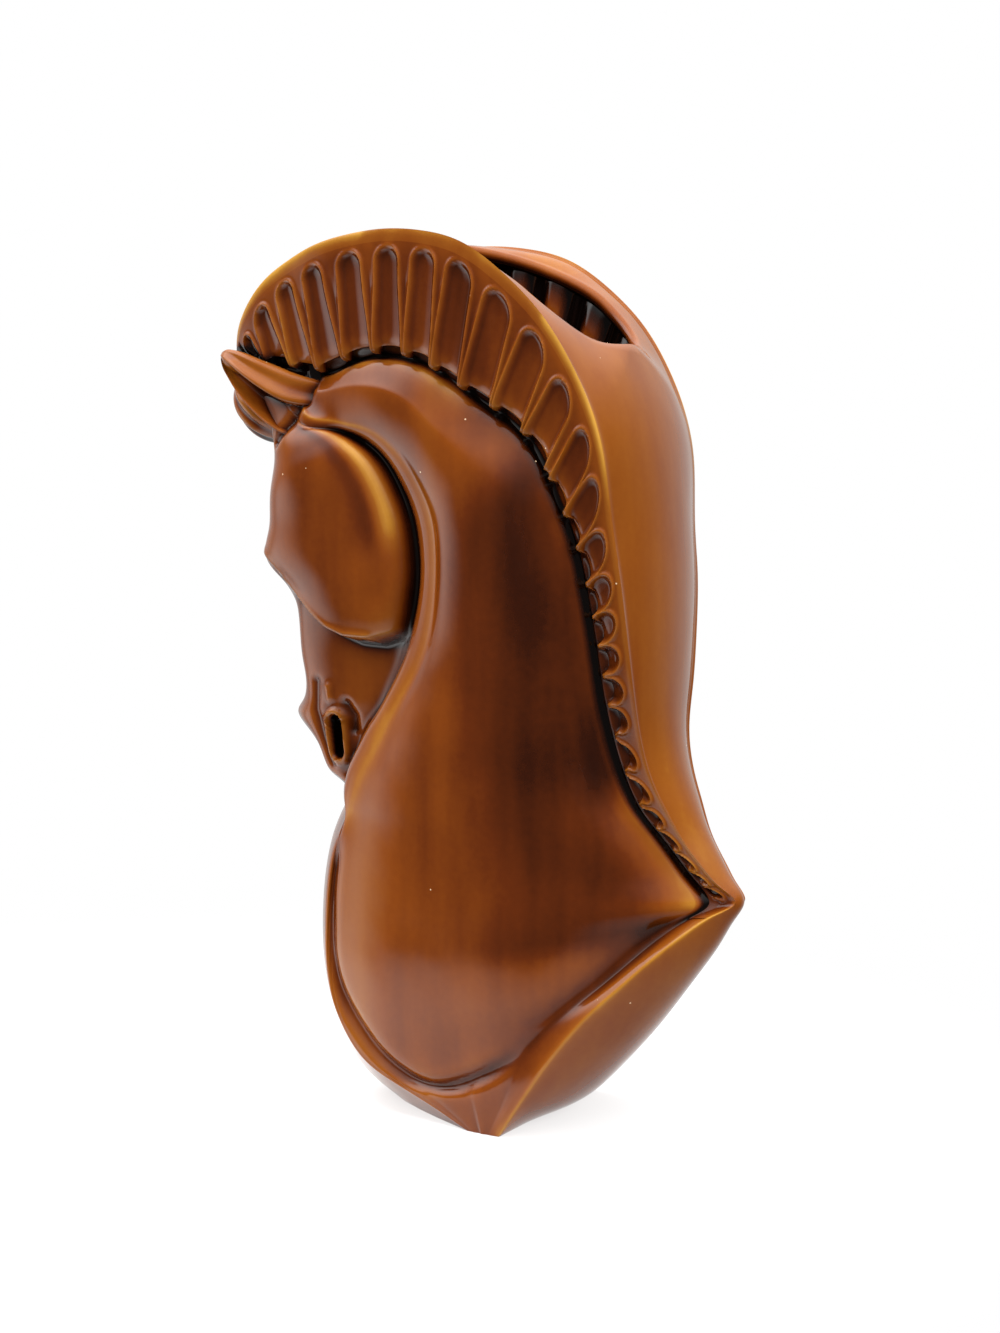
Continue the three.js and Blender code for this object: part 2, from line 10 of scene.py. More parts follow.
import bmesh
import bpy
import numpy as np
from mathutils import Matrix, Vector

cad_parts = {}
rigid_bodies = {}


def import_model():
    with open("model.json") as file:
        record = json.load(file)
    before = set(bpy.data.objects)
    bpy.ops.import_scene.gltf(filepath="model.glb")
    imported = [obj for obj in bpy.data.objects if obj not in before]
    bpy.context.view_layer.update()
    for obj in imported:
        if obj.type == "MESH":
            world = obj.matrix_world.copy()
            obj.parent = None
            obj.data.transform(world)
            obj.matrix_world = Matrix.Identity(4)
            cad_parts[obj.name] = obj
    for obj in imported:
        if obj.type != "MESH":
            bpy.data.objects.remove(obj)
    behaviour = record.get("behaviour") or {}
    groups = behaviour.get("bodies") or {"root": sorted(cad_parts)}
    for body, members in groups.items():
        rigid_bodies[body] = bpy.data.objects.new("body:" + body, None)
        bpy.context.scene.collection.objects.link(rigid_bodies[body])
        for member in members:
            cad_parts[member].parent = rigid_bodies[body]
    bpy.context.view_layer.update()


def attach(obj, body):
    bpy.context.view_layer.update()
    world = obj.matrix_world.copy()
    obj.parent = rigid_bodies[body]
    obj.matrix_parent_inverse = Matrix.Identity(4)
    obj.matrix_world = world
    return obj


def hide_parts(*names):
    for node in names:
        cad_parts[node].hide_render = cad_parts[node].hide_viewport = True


for leftover in list(bpy.data.objects):
    bpy.data.objects.remove(leftover)
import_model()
MM = 0.001

# %% [markdown]
# A modeller of such a bust thinks in lines: the face, the crease of the jowl, the rim of the neck,
# the groove under the mane, the edge of the crest, and the middle lines of front and back.
# Each line is read at the same 33 stations, from the poll over the crest down to the foot.
# A row of numbers is x, z and the half width there, in millimetres.

# %% The feature lines
FACE = [
    (-86, 262, 18), (-80, 254, 18.5), (-73, 247, 20), (-69, 240, 21.5), (-67, 231, 22.5),
    (-67, 224, 23), (-68, 216, 24), (-68.5, 209, 24), (-69, 203, 24), (-71, 197, 23.5),
    (-71, 190.5, 22), (-67, 184, 17.5), (-65, 179, 14), (-64, 174, 12), (-64, 166, 11), (-64, 157, 10),
    (-63, 149, 9.5), (-66, 141, 6), (-70, 134.5, 3), (-59, 126, 8), (-54, 116, 7.5), (-45, 111, 9),
    (-35, 104, 24), (-36.5, 93, 30), (-39, 78, 31), (-40, 64, 31), (-40, 52, 31), (-38, 40, 31),
    (-33, 29, 31), (-25, 19, 31), (-13, 12.5, 31.5), (3, 6.6, 32.5), (19.5, 0, 34),
]
JOWL = [
    (-85.6, 262.4, 17.3), (-76, 255, 19.6), (-63, 249, 23.2), (-52, 240, 26.8), (-41, 237.5, 27.2),
    (-33, 235.5, 24.8), (-26, 232, 24), (-19, 226, 23.5), (-13, 216.5, 23), (-9, 207, 23),
    (-7, 197, 23), (-6.5, 187, 23), (-8, 178, 22.5), (-10, 171, 22), (-13, 164, 20), (-17, 156.5, 18),
    (-22.5, 147.5, 16.5), (-27.5, 140.5, 15), (-33, 134.5, 14), (-37, 128, 12.5), (-41, 120, 11),
    (-40, 112, 12), (-33.5, 104, 26), (-35, 93, 31.5), (-37.5, 78, 32.3), (-38.5, 64, 32.3),
    (-38.5, 52, 32.3), (-36.5, 40.8, 32.3), (-31.6, 30, 32.3), (-23.8, 20.3, 32.3), (-12.2, 13.8, 32.6),
    (3.8, 7.6, 33.2), (20.1, 0, 34.1),
]
RIM = [
    (-85.2, 262.8, 17.5), (-73, 257, 20), (-58, 252, 24), (-50, 243, 27), (-40, 240.5, 28),
    (-31, 239, 29), (-21, 236.5, 30), (-10, 229, 31), (-2, 218.5, 31), (3.2, 208, 31), (5, 198, 31),
    (5, 187, 31), (4, 177, 31), (2.5, 169, 31), (0, 161, 31), (-4, 153, 31), (-8.5, 146, 31),
    (-13, 139, 31), (-17, 132, 31), (-21.5, 124.5, 31), (-26, 117, 31), (-29.5, 109, 31),
    (-31, 103.5, 31), (-32.5, 93, 32), (-35, 78, 32.6), (-36, 64, 32.6), (-36, 52, 32.6),
    (-34, 42, 32.6), (-29.4, 31.6, 32.6), (-22, 22.3, 32.6), (-11, 15.8, 32.8), (5.2, 9, 33.4),
    (21.1, 0, 34.2),
]
GROOVE = [
    (-85, 263, 16.5), (-74, 261.5, 16), (-60.5, 259.5, 17), (-47.5, 257, 18), (-35.5, 259.5, 21),
    (-24, 262, 24), (-12, 262, 25.5), (0.5, 259, 27), (12, 253, 28), (24, 246, 28), (35, 239, 28),
    (44.5, 229, 28), (51, 216, 28), (55.5, 205, 27), (59, 193, 26), (61.5, 179, 25), (63, 165, 23),
    (64, 151, 20.5), (65.5, 138, 17.5), (68, 125, 14.2), (73, 112, 11.8), (79, 103, 8.8),
    (85, 94.5, 6.2), (90.4, 87.4, 4.7), (95.2, 80.6, 4.6), (91, 76, 8.8), (83, 70, 13.4),
    (74, 61.5, 19), (64.5, 52.2, 24.6), (54, 42.6, 30.2), (42.5, 29.5, 34.2), (34.5, 13, 35.3),
    (28, 0, 34.8),
]
CREST = [
    (-86, 264.5, 18), (-82, 275, 21.5), (-70.5, 287.5, 24.5), (-57, 295, 27), (-43, 299.8, 30),
    (-27.5, 302.3, 32.3), (-12, 303, 34.4), (4, 301.3, 36), (20.5, 296.2, 37.5), (36.5, 285, 38),
    (50, 271.3, 37.5), (60, 255.5, 36.5), (66.3, 241, 35.5), (70, 225, 34), (71.5, 205, 31.5),
    (73.5, 187, 29.5), (74.5, 168, 26.5), (75, 151, 23), (75.5, 136, 19), (78.5, 122, 16.5),
    (83, 111, 14), (88, 101, 11), (94.5, 92, 8.5), (99.5, 86, 6), (104, 81, 4), (98.5, 77, 8.5),
    (90.8, 71, 14), (81.2, 62, 20.5), (72, 52.4, 26), (62.5, 42.5, 30.5), (51.5, 28, 34.5),
    (41, 12.5, 36), (32.5, 0, 35),
]
KEEL = [
    (-88, 261.5), (-83, 252), (-77, 245), (-73.5, 239), (-71, 231), (-72, 224), (-73, 216),
    (-73.5, 209), (-74, 203), (-75.5, 197), (-75.5, 190), (-73, 184), (-71, 179), (-70, 174),
    (-69, 166), (-68, 157), (-66, 149), (-68.5, 141), (-72, 134.5), (-62, 125), (-57, 115), (-50, 109),
    (-52, 102), (-56, 92), (-59, 78), (-60, 64), (-59.5, 50), (-57, 36), (-53, 24), (-48, 13),
    (-42, 5.5), (-37.5, 1.8), (-35, 0),
]
SPINE = [
    (-87, 267), (-84.5, 278), (-72.5, 290.5), (-58.5, 298.5), (-44.5, 302.8), (-28, 304.4), (-12, 305),
    (6, 304), (24, 301), (42, 291), (57, 277), (67.5, 259.5), (74, 243), (77.5, 226), (79.5, 205),
    (80.5, 187), (80.5, 168), (80, 151), (80.5, 137), (83, 124), (87, 113.5), (91.5, 103.5), (97, 94),
    (101.5, 87.5), (105.5, 81), (101.5, 73.5), (96, 64.5), (88, 53.5), (77, 39), (67, 27), (54.5, 14),
    (43.5, 5), (32, 0),
]
print(len(FACE), "stations on each line")

# %% [markdown]
# Two more widths say how full the side is between those lines: the cheek and the middle of the neck.
# The cheek is a round disc as far as an edge under the eye, and a slim muzzle after it,
# so it has a width for each and the edge says where one gives way to the other.

# %% How full the sides are
DISC = [18, 20, 23, 26, 29.5, 31.5, 33, 33.5, 33.5, 33.5, 33.5, 33.5, 33, 32, 30] + [29] * 18
MUZZLE = [
    18, 18, 18, 18, 19, 20, 20, 20, 20, 20, 20, 20, 19, 17.5, 16, 15.5, 15, 14, 12.5, 12, 11, 12, 25.5,
    31, 31.8, 31.8, 31.8, 31.8, 31.8, 31.8, 32.2, 33, 34,
]
NECK = [
    17, 18.5, 20.5, 24, 27.5, 30.5, 33, 34.5, 36, 37, 38, 38.5, 38.5, 38.5, 38.5, 38.5, 39, 39.3, 39.7,
    39.7, 39.7, 39.7, 39.7, 39.7, 39.7, 39.7, 39.7, 39.3, 38.5, 37, 35.8, 35, 34.5,
]
LAST = len(FACE) - 1


def smooth_line(rows, at):
    """A line through rows of numbers that bends smoothly, read at stations that may fall between rows."""
    rows = np.asarray(rows, float).reshape(len(rows), -1)
    system = np.eye(len(rows))
    pull = np.zeros_like(rows)
    for i in range(1, len(rows) - 1):
        system[i, i - 1 : i + 2] = 1, 4, 1
        pull[i] = 6 * (rows[i - 1] - 2 * rows[i] + rows[i + 1])
    bend = np.linalg.solve(system, pull)
    at = np.asarray(at, float)
    i = np.clip(at.astype(int), 0, len(rows) - 2)
    t = (at - i)[:, None]
    s = 1 - t
    return s * rows[i] + t * rows[i + 1] + ((s**3 - s) * bend[i] + (t**3 - t) * bend[i + 1]) / 6


def between(a, b, t):
    """The share t of the way from a to b."""
    return a + (b - a) * t


def ramp(value, low, high):
    """0 below low, 1 above high, and a soft step between."""
    t = np.clip((np.asarray(value, float) - low) / (high - low), 0, 1)
    return t * t * (3 - 2 * t)


def within(value, comes, ends):
    """0, then 1 between two soft steps, then 0 again: each step is (low, high)."""
    return ramp(value, *comes) * (1 - ramp(value, *ends))


def bell(d, reach):
    """1 where d is 0, falling away softly on both sides."""
    return np.exp(-((d / reach) ** 2))


def span(a, b):
    """Distance in the side view between the points of two lines."""
    return np.hypot(*(b - a)[:, :2].T)


print("the neck is fullest at", max(NECK), "mm each side")

# %% [markdown]
# The mouth is a leaf cut through the top of the crest. If it were cut with a boolean, its lip would be
# a ragged edge with no roll. So the sections are led to it instead: those that meet the mouth end on
# its rim, spread evenly round it, and those below it end on the middle line of the back.
# A row of the leaf is the way along it, the half width and how far the rim dips, in millimetres.

# %% The rim of the mouth
MOUTH_FRONT = np.array([-27.0, 304.0])
MOUTH_REAR = np.array([63.5, 265.0])
MOUTH_LEAF = [
    (6, -12, -2.5), (0, 0, 0), (6, 12, -2.5), (18, 22, -6), (38, 29, -8.6), (60, 30, -8.2),
    (72, 29, -5.4), (82, 26, -2.2), (90.7, 19.6, 0.8), (96, 11, 1.3), (98.5, 0, 0), (96, -11, 1.3),
]
MOUTH_ROWS = (5.0, 12.2)
MOUTH_SETTLES = 20.0
MOUTH_SEARCH = (3.5, 14)
RIM_POINTS = 90
FINE = 400
JUST = 1e-6
mouth_axis = (MOUTH_REAR - MOUTH_FRONT) / np.linalg.norm(MOUTH_REAR - MOUTH_FRONT)
mouth_down = np.array([mouth_axis[1], -mouth_axis[0]])


def back_point(u, q):
    """The point of the crest's top or of the back at stations u, at share q of the way out."""
    crest, spine = smooth_line(CREST, u), smooth_line(SPINE, u)
    q = np.broadcast_to(q, np.shape(u))[:, None]
    return np.column_stack([between(crest[:, :2], spine, 1 - q * q), crest[:, 2:] * q])


def rim_table():
    """The rim, evenly round half of it: share of the way, station, share q, way inward and point."""
    leaf = smooth_line(MOUTH_LEAF, np.linspace(1, len(MOUTH_LEAF) - 2, FINE))
    share = np.concatenate([[0], np.cumsum(np.hypot(*np.diff(leaf, axis=0).T))])
    even = np.linspace(0, 1, RIM_POINTS)
    leaf = np.column_stack([np.interp(even, share / share[-1], leaf[:, k]) for k in (0, 1, 2)])
    run = np.gradient(leaf[:, :2], axis=0)
    inward = np.column_stack([run[:, 1], -run[:, 0]]) / np.hypot(*run.T)[:, None]
    tries = np.linspace(*MOUTH_SEARCH, FINE)
    width = smooth_line(CREST, tries)[:, 2]
    station = []
    for place, half, _ in leaf:
        point = back_point(tries, np.clip(half / width, 0, 1))
        station.append(np.interp(place, (point[:, :2] - MOUTH_FRONT) @ mouth_axis, tries))
    station = np.array(station)
    half = np.clip(leaf[:, 1], 0, None)
    flat = MOUTH_FRONT + np.outer(leaf[:, 0], mouth_axis) + np.outer(leaf[:, 2], mouth_down)
    return even, station, half / np.interp(station, tries, width), inward, np.column_stack([flat, half])


RIM_SHARE, RIM_STATION, RIM_Q, RIM_INWARD, RIM_POINT = rim_table()


def rim_way(u):
    """The share of the way round the rim that the section at station u leads to."""
    return np.clip((u - MOUTH_ROWS[0]) / (MOUTH_ROWS[1] - MOUTH_ROWS[0]), 0, 1)


def in_mouth(u):
    """Whether the section at station u ends on the rim, not on the middle line."""
    return (u > MOUTH_ROWS[0]) & (u < MOUTH_ROWS[1])


def top_station(u):
    """The station where the section from crest station u ends, on the rim or on the middle line."""
    on_rim = np.interp(rim_way(u), RIM_SHARE, RIM_STATION)
    before = u + (RIM_STATION[0] - MOUTH_ROWS[0]) * ramp(u, 2, MOUTH_ROWS[0])
    after = u - (MOUTH_ROWS[1] - RIM_STATION[-1]) * (1 - ramp(u, MOUTH_ROWS[1], MOUTH_SETTLES))
    return np.where(u < MOUTH_ROWS[0], before, np.where(u > MOUTH_ROWS[1], after, on_rim))


def top_share(u):
    """How far out that end lies: 0 on the middle line."""
    return np.where(in_mouth(u), np.interp(rim_way(u), RIM_SHARE, RIM_Q), 0)


print("the rim ends at stations", RIM_STATION[0].round(2), RIM_STATION[-1].round(2))

# %% [markdown]
# A section runs from the middle of the front, over cheek, jowl, rim, neck, groove and crest, to the
# middle of the back. It is a smooth curve held by a row of handles, and where three handles stand close
# together the curve turns tightly, which gives the rolled edges and soft creases of a glazed casting.
# A place (t, k) is a handle at share t of the way to the next line, at share k of the rise in width.

# %% Handles of the head
FRONT_PLACES = [0.4, 0.75]
CHEEK_PLACES = [(0.14, 0.62), (0.36, 0.94), (0.62, 1.0), (0.86, 0.9), (0.955, 0.66)]
JOWL_PLACES = [(0.15, 0.1), (0.38, 0.7), (0.68, 0.96)]
CHEST_FROM = 21
FRONT_ROUND, CHEST_ROUND = 2.0, 1.35


def point_between(a, b, t, width):
    """The point at share t of the way from line a to line b, with a half width of its own."""
    return np.column_stack([between(a[:, :2], b[:, :2], t), width])


def front_handles(keel, face, u):
    """From the middle of the front round to the face."""
    power = np.where(u > CHEST_FROM, CHEST_ROUND, FRONT_ROUND)[:, None]
    net = [np.column_stack([keel, np.zeros(len(u))])]
    net += [point_between(face, keel, 1 - q**power, face[:, 2] * q) for q in FRONT_PLACES]
    return net + [face]


def cheek_handles(face, jowl, rim, full):
    """Over the cheek to the jowl, then up the step to the rim of the neck."""
    net = []
    for t, k in CHEEK_PLACES:
        side = face[:, 2] if t < 0.5 else jowl[:, 2]
        net.append(point_between(face, jowl, t, between(side, full, k)))
    net.append(jowl)
    net += [point_between(jowl, rim, t, between(jowl[:, 2], rim[:, 2], k)) for t, k in JOWL_PLACES]
    return net + [rim]


print("handles over the cheek:", len(CHEEK_PLACES), "and up to the rim:", len(JOWL_PLACES))

# %% [markdown]
# The neck ends in a rounded shoulder beside the groove. The groove is a narrow slot with a steep wall
# under the mane, and it closes to a soft fold below the tip, where no mane stands over it.

# %% Handles of the neck and the groove
MANED = (0.2, 0.9), (23.8, 25.6)
NECK_PLACES = [(0.05, 0.16), (0.14, 0.6), (0.36, 0.93)]
NECK_LATE, NECK_LATE_SLIMS = 0.58, 0.05
NECK_ABOVE_GROOVE = 4
NECK_TURN, NECK_TURN_MOST, NECK_TURN_AT = 15.0, 0.4, 0.86
TIP_STATION, TIP_SPREAD = 24.0, 3.4
TIP_TURN, TIP_SLIMS, TIP_RISE = 11.0, 0.24, 0.2
SHOULDER_REACH, SHOULDER_MOST, SHOULDER_FULL = 6.0, 0.14, 20
SHOULDER_PLACES = [(1.0, 4.6, 4.6), (0.53, 2.4, 3.6), (0.27, 0.8, 1.5)]
FOLD_SHARE = 0.38
FOLD_ENDS = (29.2, 30.3)


def maned(u):
    """1 where the mane stands beside the groove, 0 before and after it."""
    return within(u, *MANED)


def neck_handles(rim, groove, neck, u):
    """From the rim over the neck to the shoulder and down into the groove."""
    reach = span(rim, groove)
    at_tip = bell(u - TIP_STATION, TIP_SPREAD)
    net = [point_between(rim, groove, t, between(rim[:, 2], neck, k)) for t, k in NECK_PLACES]
    turn = np.minimum(NECK_TURN_MOST, (NECK_TURN + TIP_TURN * at_tip) / np.maximum(reach, 1))[:, None]
    late = ((NECK_LATE, 1 - NECK_LATE_SLIMS * at_tip), (1 - turn, NECK_TURN_AT - TIP_SLIMS * at_tip))
    for t, k in late:
        net.append(point_between(rim, groove, t, between(groove[:, 2] + NECK_ABOVE_GROOVE, neck, k)))
    shoulder = np.minimum(SHOULDER_MOST, SHOULDER_REACH / np.maximum(reach, 1))[:, None]
    rise = between(FOLD_SHARE, 1.0, maned(u)) * np.minimum(1, reach / SHOULDER_FULL)
    rise = rise * (1 - ramp(u, *FOLD_ENDS)) * (1 + TIP_RISE * at_tip)
    for back, soft, steep in SHOULDER_PLACES:
        width = groove[:, 2] + between(soft, steep, maned(u)) * rise
        net.append(point_between(groove, rim, shoulder * back, width))
    return net + [groove]


print("handles over the neck:", len(NECK_PLACES) + 2, "and down its shoulder:", len(SHOULDER_PLACES))

# %% Handles of the crest and the top
EDGE_ROLL, EDGE_DRAW, CLOSE = 1.8, 1.6, 0.16
DRAWN = (0, 2), (23, 25)
SLOT_WIDE, SLOT_TIP = 0.9, 0.9
SLOT_COMES, SLOT_WIDENS, SLOT_ENDS = (9, 12), (19.5, 22), (24, 25)
SLOT_PLACES = [(0.7, 0.1, 0.3, 0.3), (1.4, 0.25, 0.5, 0.82), (2.4, 0.4, 0.7, 0.92)]
BAND_PLACES = [(0.5, 0.955), (0.8, 0.97)]
FOLD_ROUND = (28.8, 30.3)
TOP_PLACES = [0.955, 0.85, 0.6, 0.3, 0.0]
RIM_LEADS, RIM_SETTLES = 2.5, 18


def drawn_out(crest, groove, u):
    """The crest's edge with some more reach, because the rounding of the edge takes as much away."""
    way = crest - groove
    way /= np.maximum(np.hypot(way[:, 0], way[:, 1]), 1)[:, None]
    return crest + way * (1, 1, 0) * (EDGE_DRAW * within(u, *DRAWN))[:, None]


def crest_handles(groove, crest, u):
    """Up the wall of the slot, over the band that carries the flutes, and round the crest's edge."""
    depth = np.maximum(span(groove, crest), 0.5)
    slot = SLOT_WIDE * ramp(u, *SLOT_COMES) + SLOT_TIP * ramp(u, *SLOT_WIDENS)
    slot = slot * (1 - ramp(u, *SLOT_ENDS))
    net = []
    for far, plain, full, mane in SLOT_PLACES:
        t = np.minimum(CLOSE * (far + slot), (far + slot) / depth)[:, None]
        lift = between(between(plain, full, ramp(u, *FOLD_ROUND)), mane, maned(u))
        net.append(point_between(groove, crest, t, between(groove[:, 2], crest[:, 2], lift)))
    for t, lift in BAND_PLACES:
        net.append(point_between(groove, crest, t, between(groove[:, 2], crest[:, 2], lift)))
    roll = np.minimum(CLOSE, EDGE_ROLL / depth)[:, None]
    return net + [point_between(crest, groove, roll, crest[:, 2]), crest]


def top_handles(u):
    """Over the top of the crest or the back, to the rim of the mouth or to the middle line."""
    held = np.clip(u, MOUTH_ROWS[0] + JUST, MOUTH_ROWS[1] - JUST)
    rim_end = np.column_stack([np.interp(rim_way(held), RIM_SHARE, RIM_POINT[:, k]) for k in range(3)])
    settle = rim_end - back_point(top_station(held), top_share(held))
    settle *= within(u, (RIM_LEADS, MOUTH_ROWS[0]), (MOUTH_ROWS[1], RIM_SETTLES))[:, None]
    settle[:, 2] *= in_mouth(u)
    net = []
    for q in TOP_PLACES:
        point = back_point(between(top_station(u), u, q), between(top_share(u), 1, q))
        net.append(point + settle * (1 - q) ** 1.5)
    return net


def handles(u, cheek):
    """The handles of the half sections at stations u: stations by handles by (x, z, half width)."""
    keel, face, jowl = smooth_line(KEEL, u), smooth_line(FACE, u), smooth_line(JOWL, u)
    rim, groove, crest = smooth_line(RIM, u), smooth_line(GROOVE, u), smooth_line(CREST, u)
    full, neck = smooth_line(cheek, u)[:, 0], smooth_line(NECK, u)[:, 0]
    crest = drawn_out(crest, groove, u)
    net = front_handles(keel, face, u) + cheek_handles(face, jowl, rim, full)
    net += neck_handles(rim, groove, neck, u) + crest_handles(groove, crest, u) + top_handles(u)
    return np.stack(net, 1)


# Where the feature lines stand among the handles.
JOWL_AT, RIM_AT, GROOVE_AT, CREST_AT = 9, 13, 22, 29
HANDLES = handles(np.zeros(1), DISC).shape[1]
print(HANDLES, "handles in a half section")

# %% [markdown]
# The skin is read from the handles with a cubic B-spline, which has no kinks in its shading. Rows are
# spread by distance along the bust, and columns lie closest where the section turns tightly.

# %% Reading the skin
COLUMN_STEPS = [
    2, 2, 3, 6, 8, 9, 8, 5, 4, 3, 3, 2, 2, 4, 4, 4, 4, 4, 3, 2, 2, 2, 2, 1, 2, 2, 2, 2, 2, 2, 3, 3, 3, 3,
]
BODY_ROWS = 340
POCKET_TOP = 27.6
BROW = [
    (-73, 194), (-65, 187), (-57, 179), (-48, 171.5), (-41, 166.5), (-33, 163.5), (-23, 163), (-8, 167),
]
BROW_LEAN = 0.8
BROW_STEP = (-2.8, 1.2)


def places(steps):
    """Places along the handles: so many in each span, and the last end."""
    spans = [i + np.arange(n) / n for i, n in enumerate(steps)]
    return np.append(np.concatenate(spans), len(steps))


def spline_skin(u, v, cheek):
    """Points of the half skin at stations u and places v, for one row of cheek widths."""
    net = handles(u, cheek)
    mirrored = net * (1, 1, -1)
    straight_on = 2 * net[:, -1:] - net[:, -2:-1]
    beyond = np.where(in_mouth(u)[:, None, None], straight_on, mirrored[:, -2:-1])
    net = np.concatenate([mirrored[:, 1:2], net, beyond], 1)
    i = np.clip(v.astype(int), 0, HANDLES - 2)
    f = v - i
    weight = np.zeros((len(v), HANDLES + 2))
    parts = [(1 - f) ** 3, 3 * f**3 - 6 * f**2 + 4, -3 * f**3 + 3 * f**2 + 3 * f + 1, f**3]
    for k, part in enumerate(parts):
        weight[np.arange(len(v)), i + k] += part / 6
    return np.einsum("cn,rnk->rck", weight, net)


def skin(u, v):
    """Points (x, z, half width) of the half skin: a full cheek down to the eye's edge, then a muzzle."""
    points, slim = spline_skin(u, v, DISC), spline_skin(u, v, MUZZLE)
    below = BROW_LEAN * (np.interp(points[..., 0], *np.transpose(BROW)) - points[..., 1])
    points[..., 2] = between(points[..., 2], slim[..., 2], ramp(below, *BROW_STEP))
    return points


def even_rows(start, end, count, lines):
    """Stations spread evenly by the longest of the ways along some lines."""
    fine = np.linspace(start, end, 2000)
    step = np.max([np.hypot(*np.diff(smooth_line(line, fine)[:, :2], axis=0).T) for line in lines], 0)
    way = np.concatenate([[0], np.cumsum(step)])
    return np.interp(np.linspace(0, way[-1], count), way, fine)


body_u = even_rows(0, LAST, BODY_ROWS, [FACE, RIM, CREST, SPINE])
body_u = np.sort(np.append(body_u, [MOUTH_ROWS[0] + JUST, MOUTH_ROWS[1] - JUST]))
body_v = np.sort(np.append(places(COLUMN_STEPS), [POCKET_TOP, POCKET_TOP - 0.05, POCKET_TOP + 0.12]))
outer = skin(body_u, body_v)
print("outer skin:", outer.shape[0], "rows of", outer.shape[1], "points")

# %% [markdown]
# Some forms don't follow the stations: the groove round the foot of the shoulder, the lid over the eye,
# the nostril and the lips. They are raised or sunk from the skin by their distance, seen from the side,
# to a short line, as a modeller would press or add a strip of clay along it.
# A row of STRIPS is the line, its rise in millimetres (less than 0 sinks), its reach, and the places
# along the handles between which it comes in and between which it ends. Those of the snout share theirs.

# %% Strips pressed into the skin
SHOULDER_GROOVE = [
    (-35, 98), (-37.5, 80), (-38, 66), (-37.5, 54), (-33.5, 41.5), (-25.5, 30.5), (-16.5, 21.5),
    (-6, 15.5), (5, 13), (15, 15.5), (24, 19.5), (32, 24), (41, 29),
]
SHOULDER_SUNK, SHOULDER_WIDE = 3.1, 2.9
SHOULDER_HEIGHTS, SHOULDER_BACK = ((9, 14), (84, 100)), (26, 42)
EAR_ROOT = [(-49, 257), (-51.5, 249), (-57, 240), (-64, 233)]
LID = [(x - 0.6, z + 2.6) for x, z in BROW[:-1]]
NOSE_VALLEY = [(-56, 148), (-57, 138), (-54.5, 128), (-51, 119)]
LIP_PIT = [(-42.5, 140.5), (-40, 136.5), (-40, 132)]
NOSE_BUMP = [(-49.8, 146.5), (-49.4, 142.5)]
NEVER = (99, 100)
STRIPS = [
    (EAR_ROOT, -2.4, 1.7, (3, 4), NEVER),
    (LID, 0.9, 1.7, (2, 3), (8, 9)),
    (NOSE_VALLEY, -1.5, 2.0, (2, 3), (8, 9)),
]
SNOUT_STRIPS = [(LIP_PIT, -1.8, 2.0), (NOSE_BUMP, 1.3, 1.6)]
EYE, EYE_RISE, EYE_REACH = (-62.0, 181.5), 3.0, 3.0
DISC_RING, RING_SUNK, RING_WIDE = 6.9, 0.5, 0.45
RING_HEIGHTS = (168, 184), (226, 236)
SIDE, SNOUT = (2.5, 4), ((3, 4), (8, 9.5))
NOSTRIL = [(-47.6, 134), (-46.6, 123.5)]
NOSTRIL_RIM, NOSTRIL_RIM_AT, NOSTRIL_RIM_WIDE = 2.3, 3.7, 1.4
NOSTRIL_DEEP, NOSTRIL_EDGE = 4.8, (0.5, 3.0)
THINNEST = 0.05


def distance(x, z, line):
    """Distance from points to a line of short straight steps."""
    best = np.full(np.shape(x), 1e9)
    for (ax, az), (bx, bz) in zip(line[:-1], line[1:]):
        dx, dz = bx - ax, bz - az
        t = np.clip(((x - ax) * dx + (z - az) * dz) / (dx * dx + dz * dz), 0, 1)
        best = np.minimum(best, np.hypot(x - ax - t * dx, z - az - t * dz))
    return best


def on_snout(v):
    """1 on the sides of the muzzle, 0 at its front and under the jowl."""
    return within(v, *SNOUT)


def pressed(points, v):
    """The same points with the strips pressed in or laid on."""
    points = points.copy()
    x, z, w = points[..., 0], points[..., 1], points[..., 2]
    side = ramp(v, *SIDE)
    bead = smooth_line(SHOULDER_GROOVE, np.linspace(0, len(SHOULDER_GROOVE) - 1, 60))
    fade = within(z, *SHOULDER_HEIGHTS) * (1 - ramp(x, *SHOULDER_BACK)) * side
    w -= SHOULDER_SUNK * bell(distance(x, z, bead), SHOULDER_WIDE) * fade
    for line, rise, reach, comes, ends in STRIPS:
        w += rise * bell(distance(x, z, line), reach) * within(v, comes, ends)
    for line, rise, reach in SNOUT_STRIPS:
        w += rise * bell(distance(x, z, line), reach) * side * on_snout(v)
    w += EYE_RISE * bell(np.hypot(x - EYE[0], z - EYE[1]), EYE_REACH) * side
    w -= RING_SUNK * bell(v - DISC_RING, RING_WIDE) * within(z, *RING_HEIGHTS)
    slot = distance(x, z, NOSTRIL)
    hole = NOSTRIL_DEEP * (1 - ramp(slot, *NOSTRIL_EDGE))
    w += (NOSTRIL_RIM * bell(slot - NOSTRIL_RIM_AT, NOSTRIL_RIM_WIDE) - hole) * side * on_snout(v)
    points[..., 2] = np.where(points[..., 2] > 0, np.maximum(w, THINNEST), w)
    return points


outer = pressed(outer, body_v)
print("half width now runs to", outer[..., 2].max().round(1), "mm")

# %% [markdown]
# The casting is hollow. The inside is the outside drawn back by the wall: each inner point takes the
# least half width within a wall's reach, less the wall, so that no crease of the outside breaks through.

# %% The hollow
WALL = 6
FLOOR = 7
HOLLOW_ROWS = (3.0, 31.0)
HOLLOW_PLACES = [0, 3, 5, 7, 8, 10, 12, 13, 15, 16, 17, 18, 20, 22, 23.5, 25, 26, 27, 28]
BELOW_CREST = 5
LOW_GAP, HIGH_GAP = 0.5, 0.4
HOLLOW_LEAST = 1.2


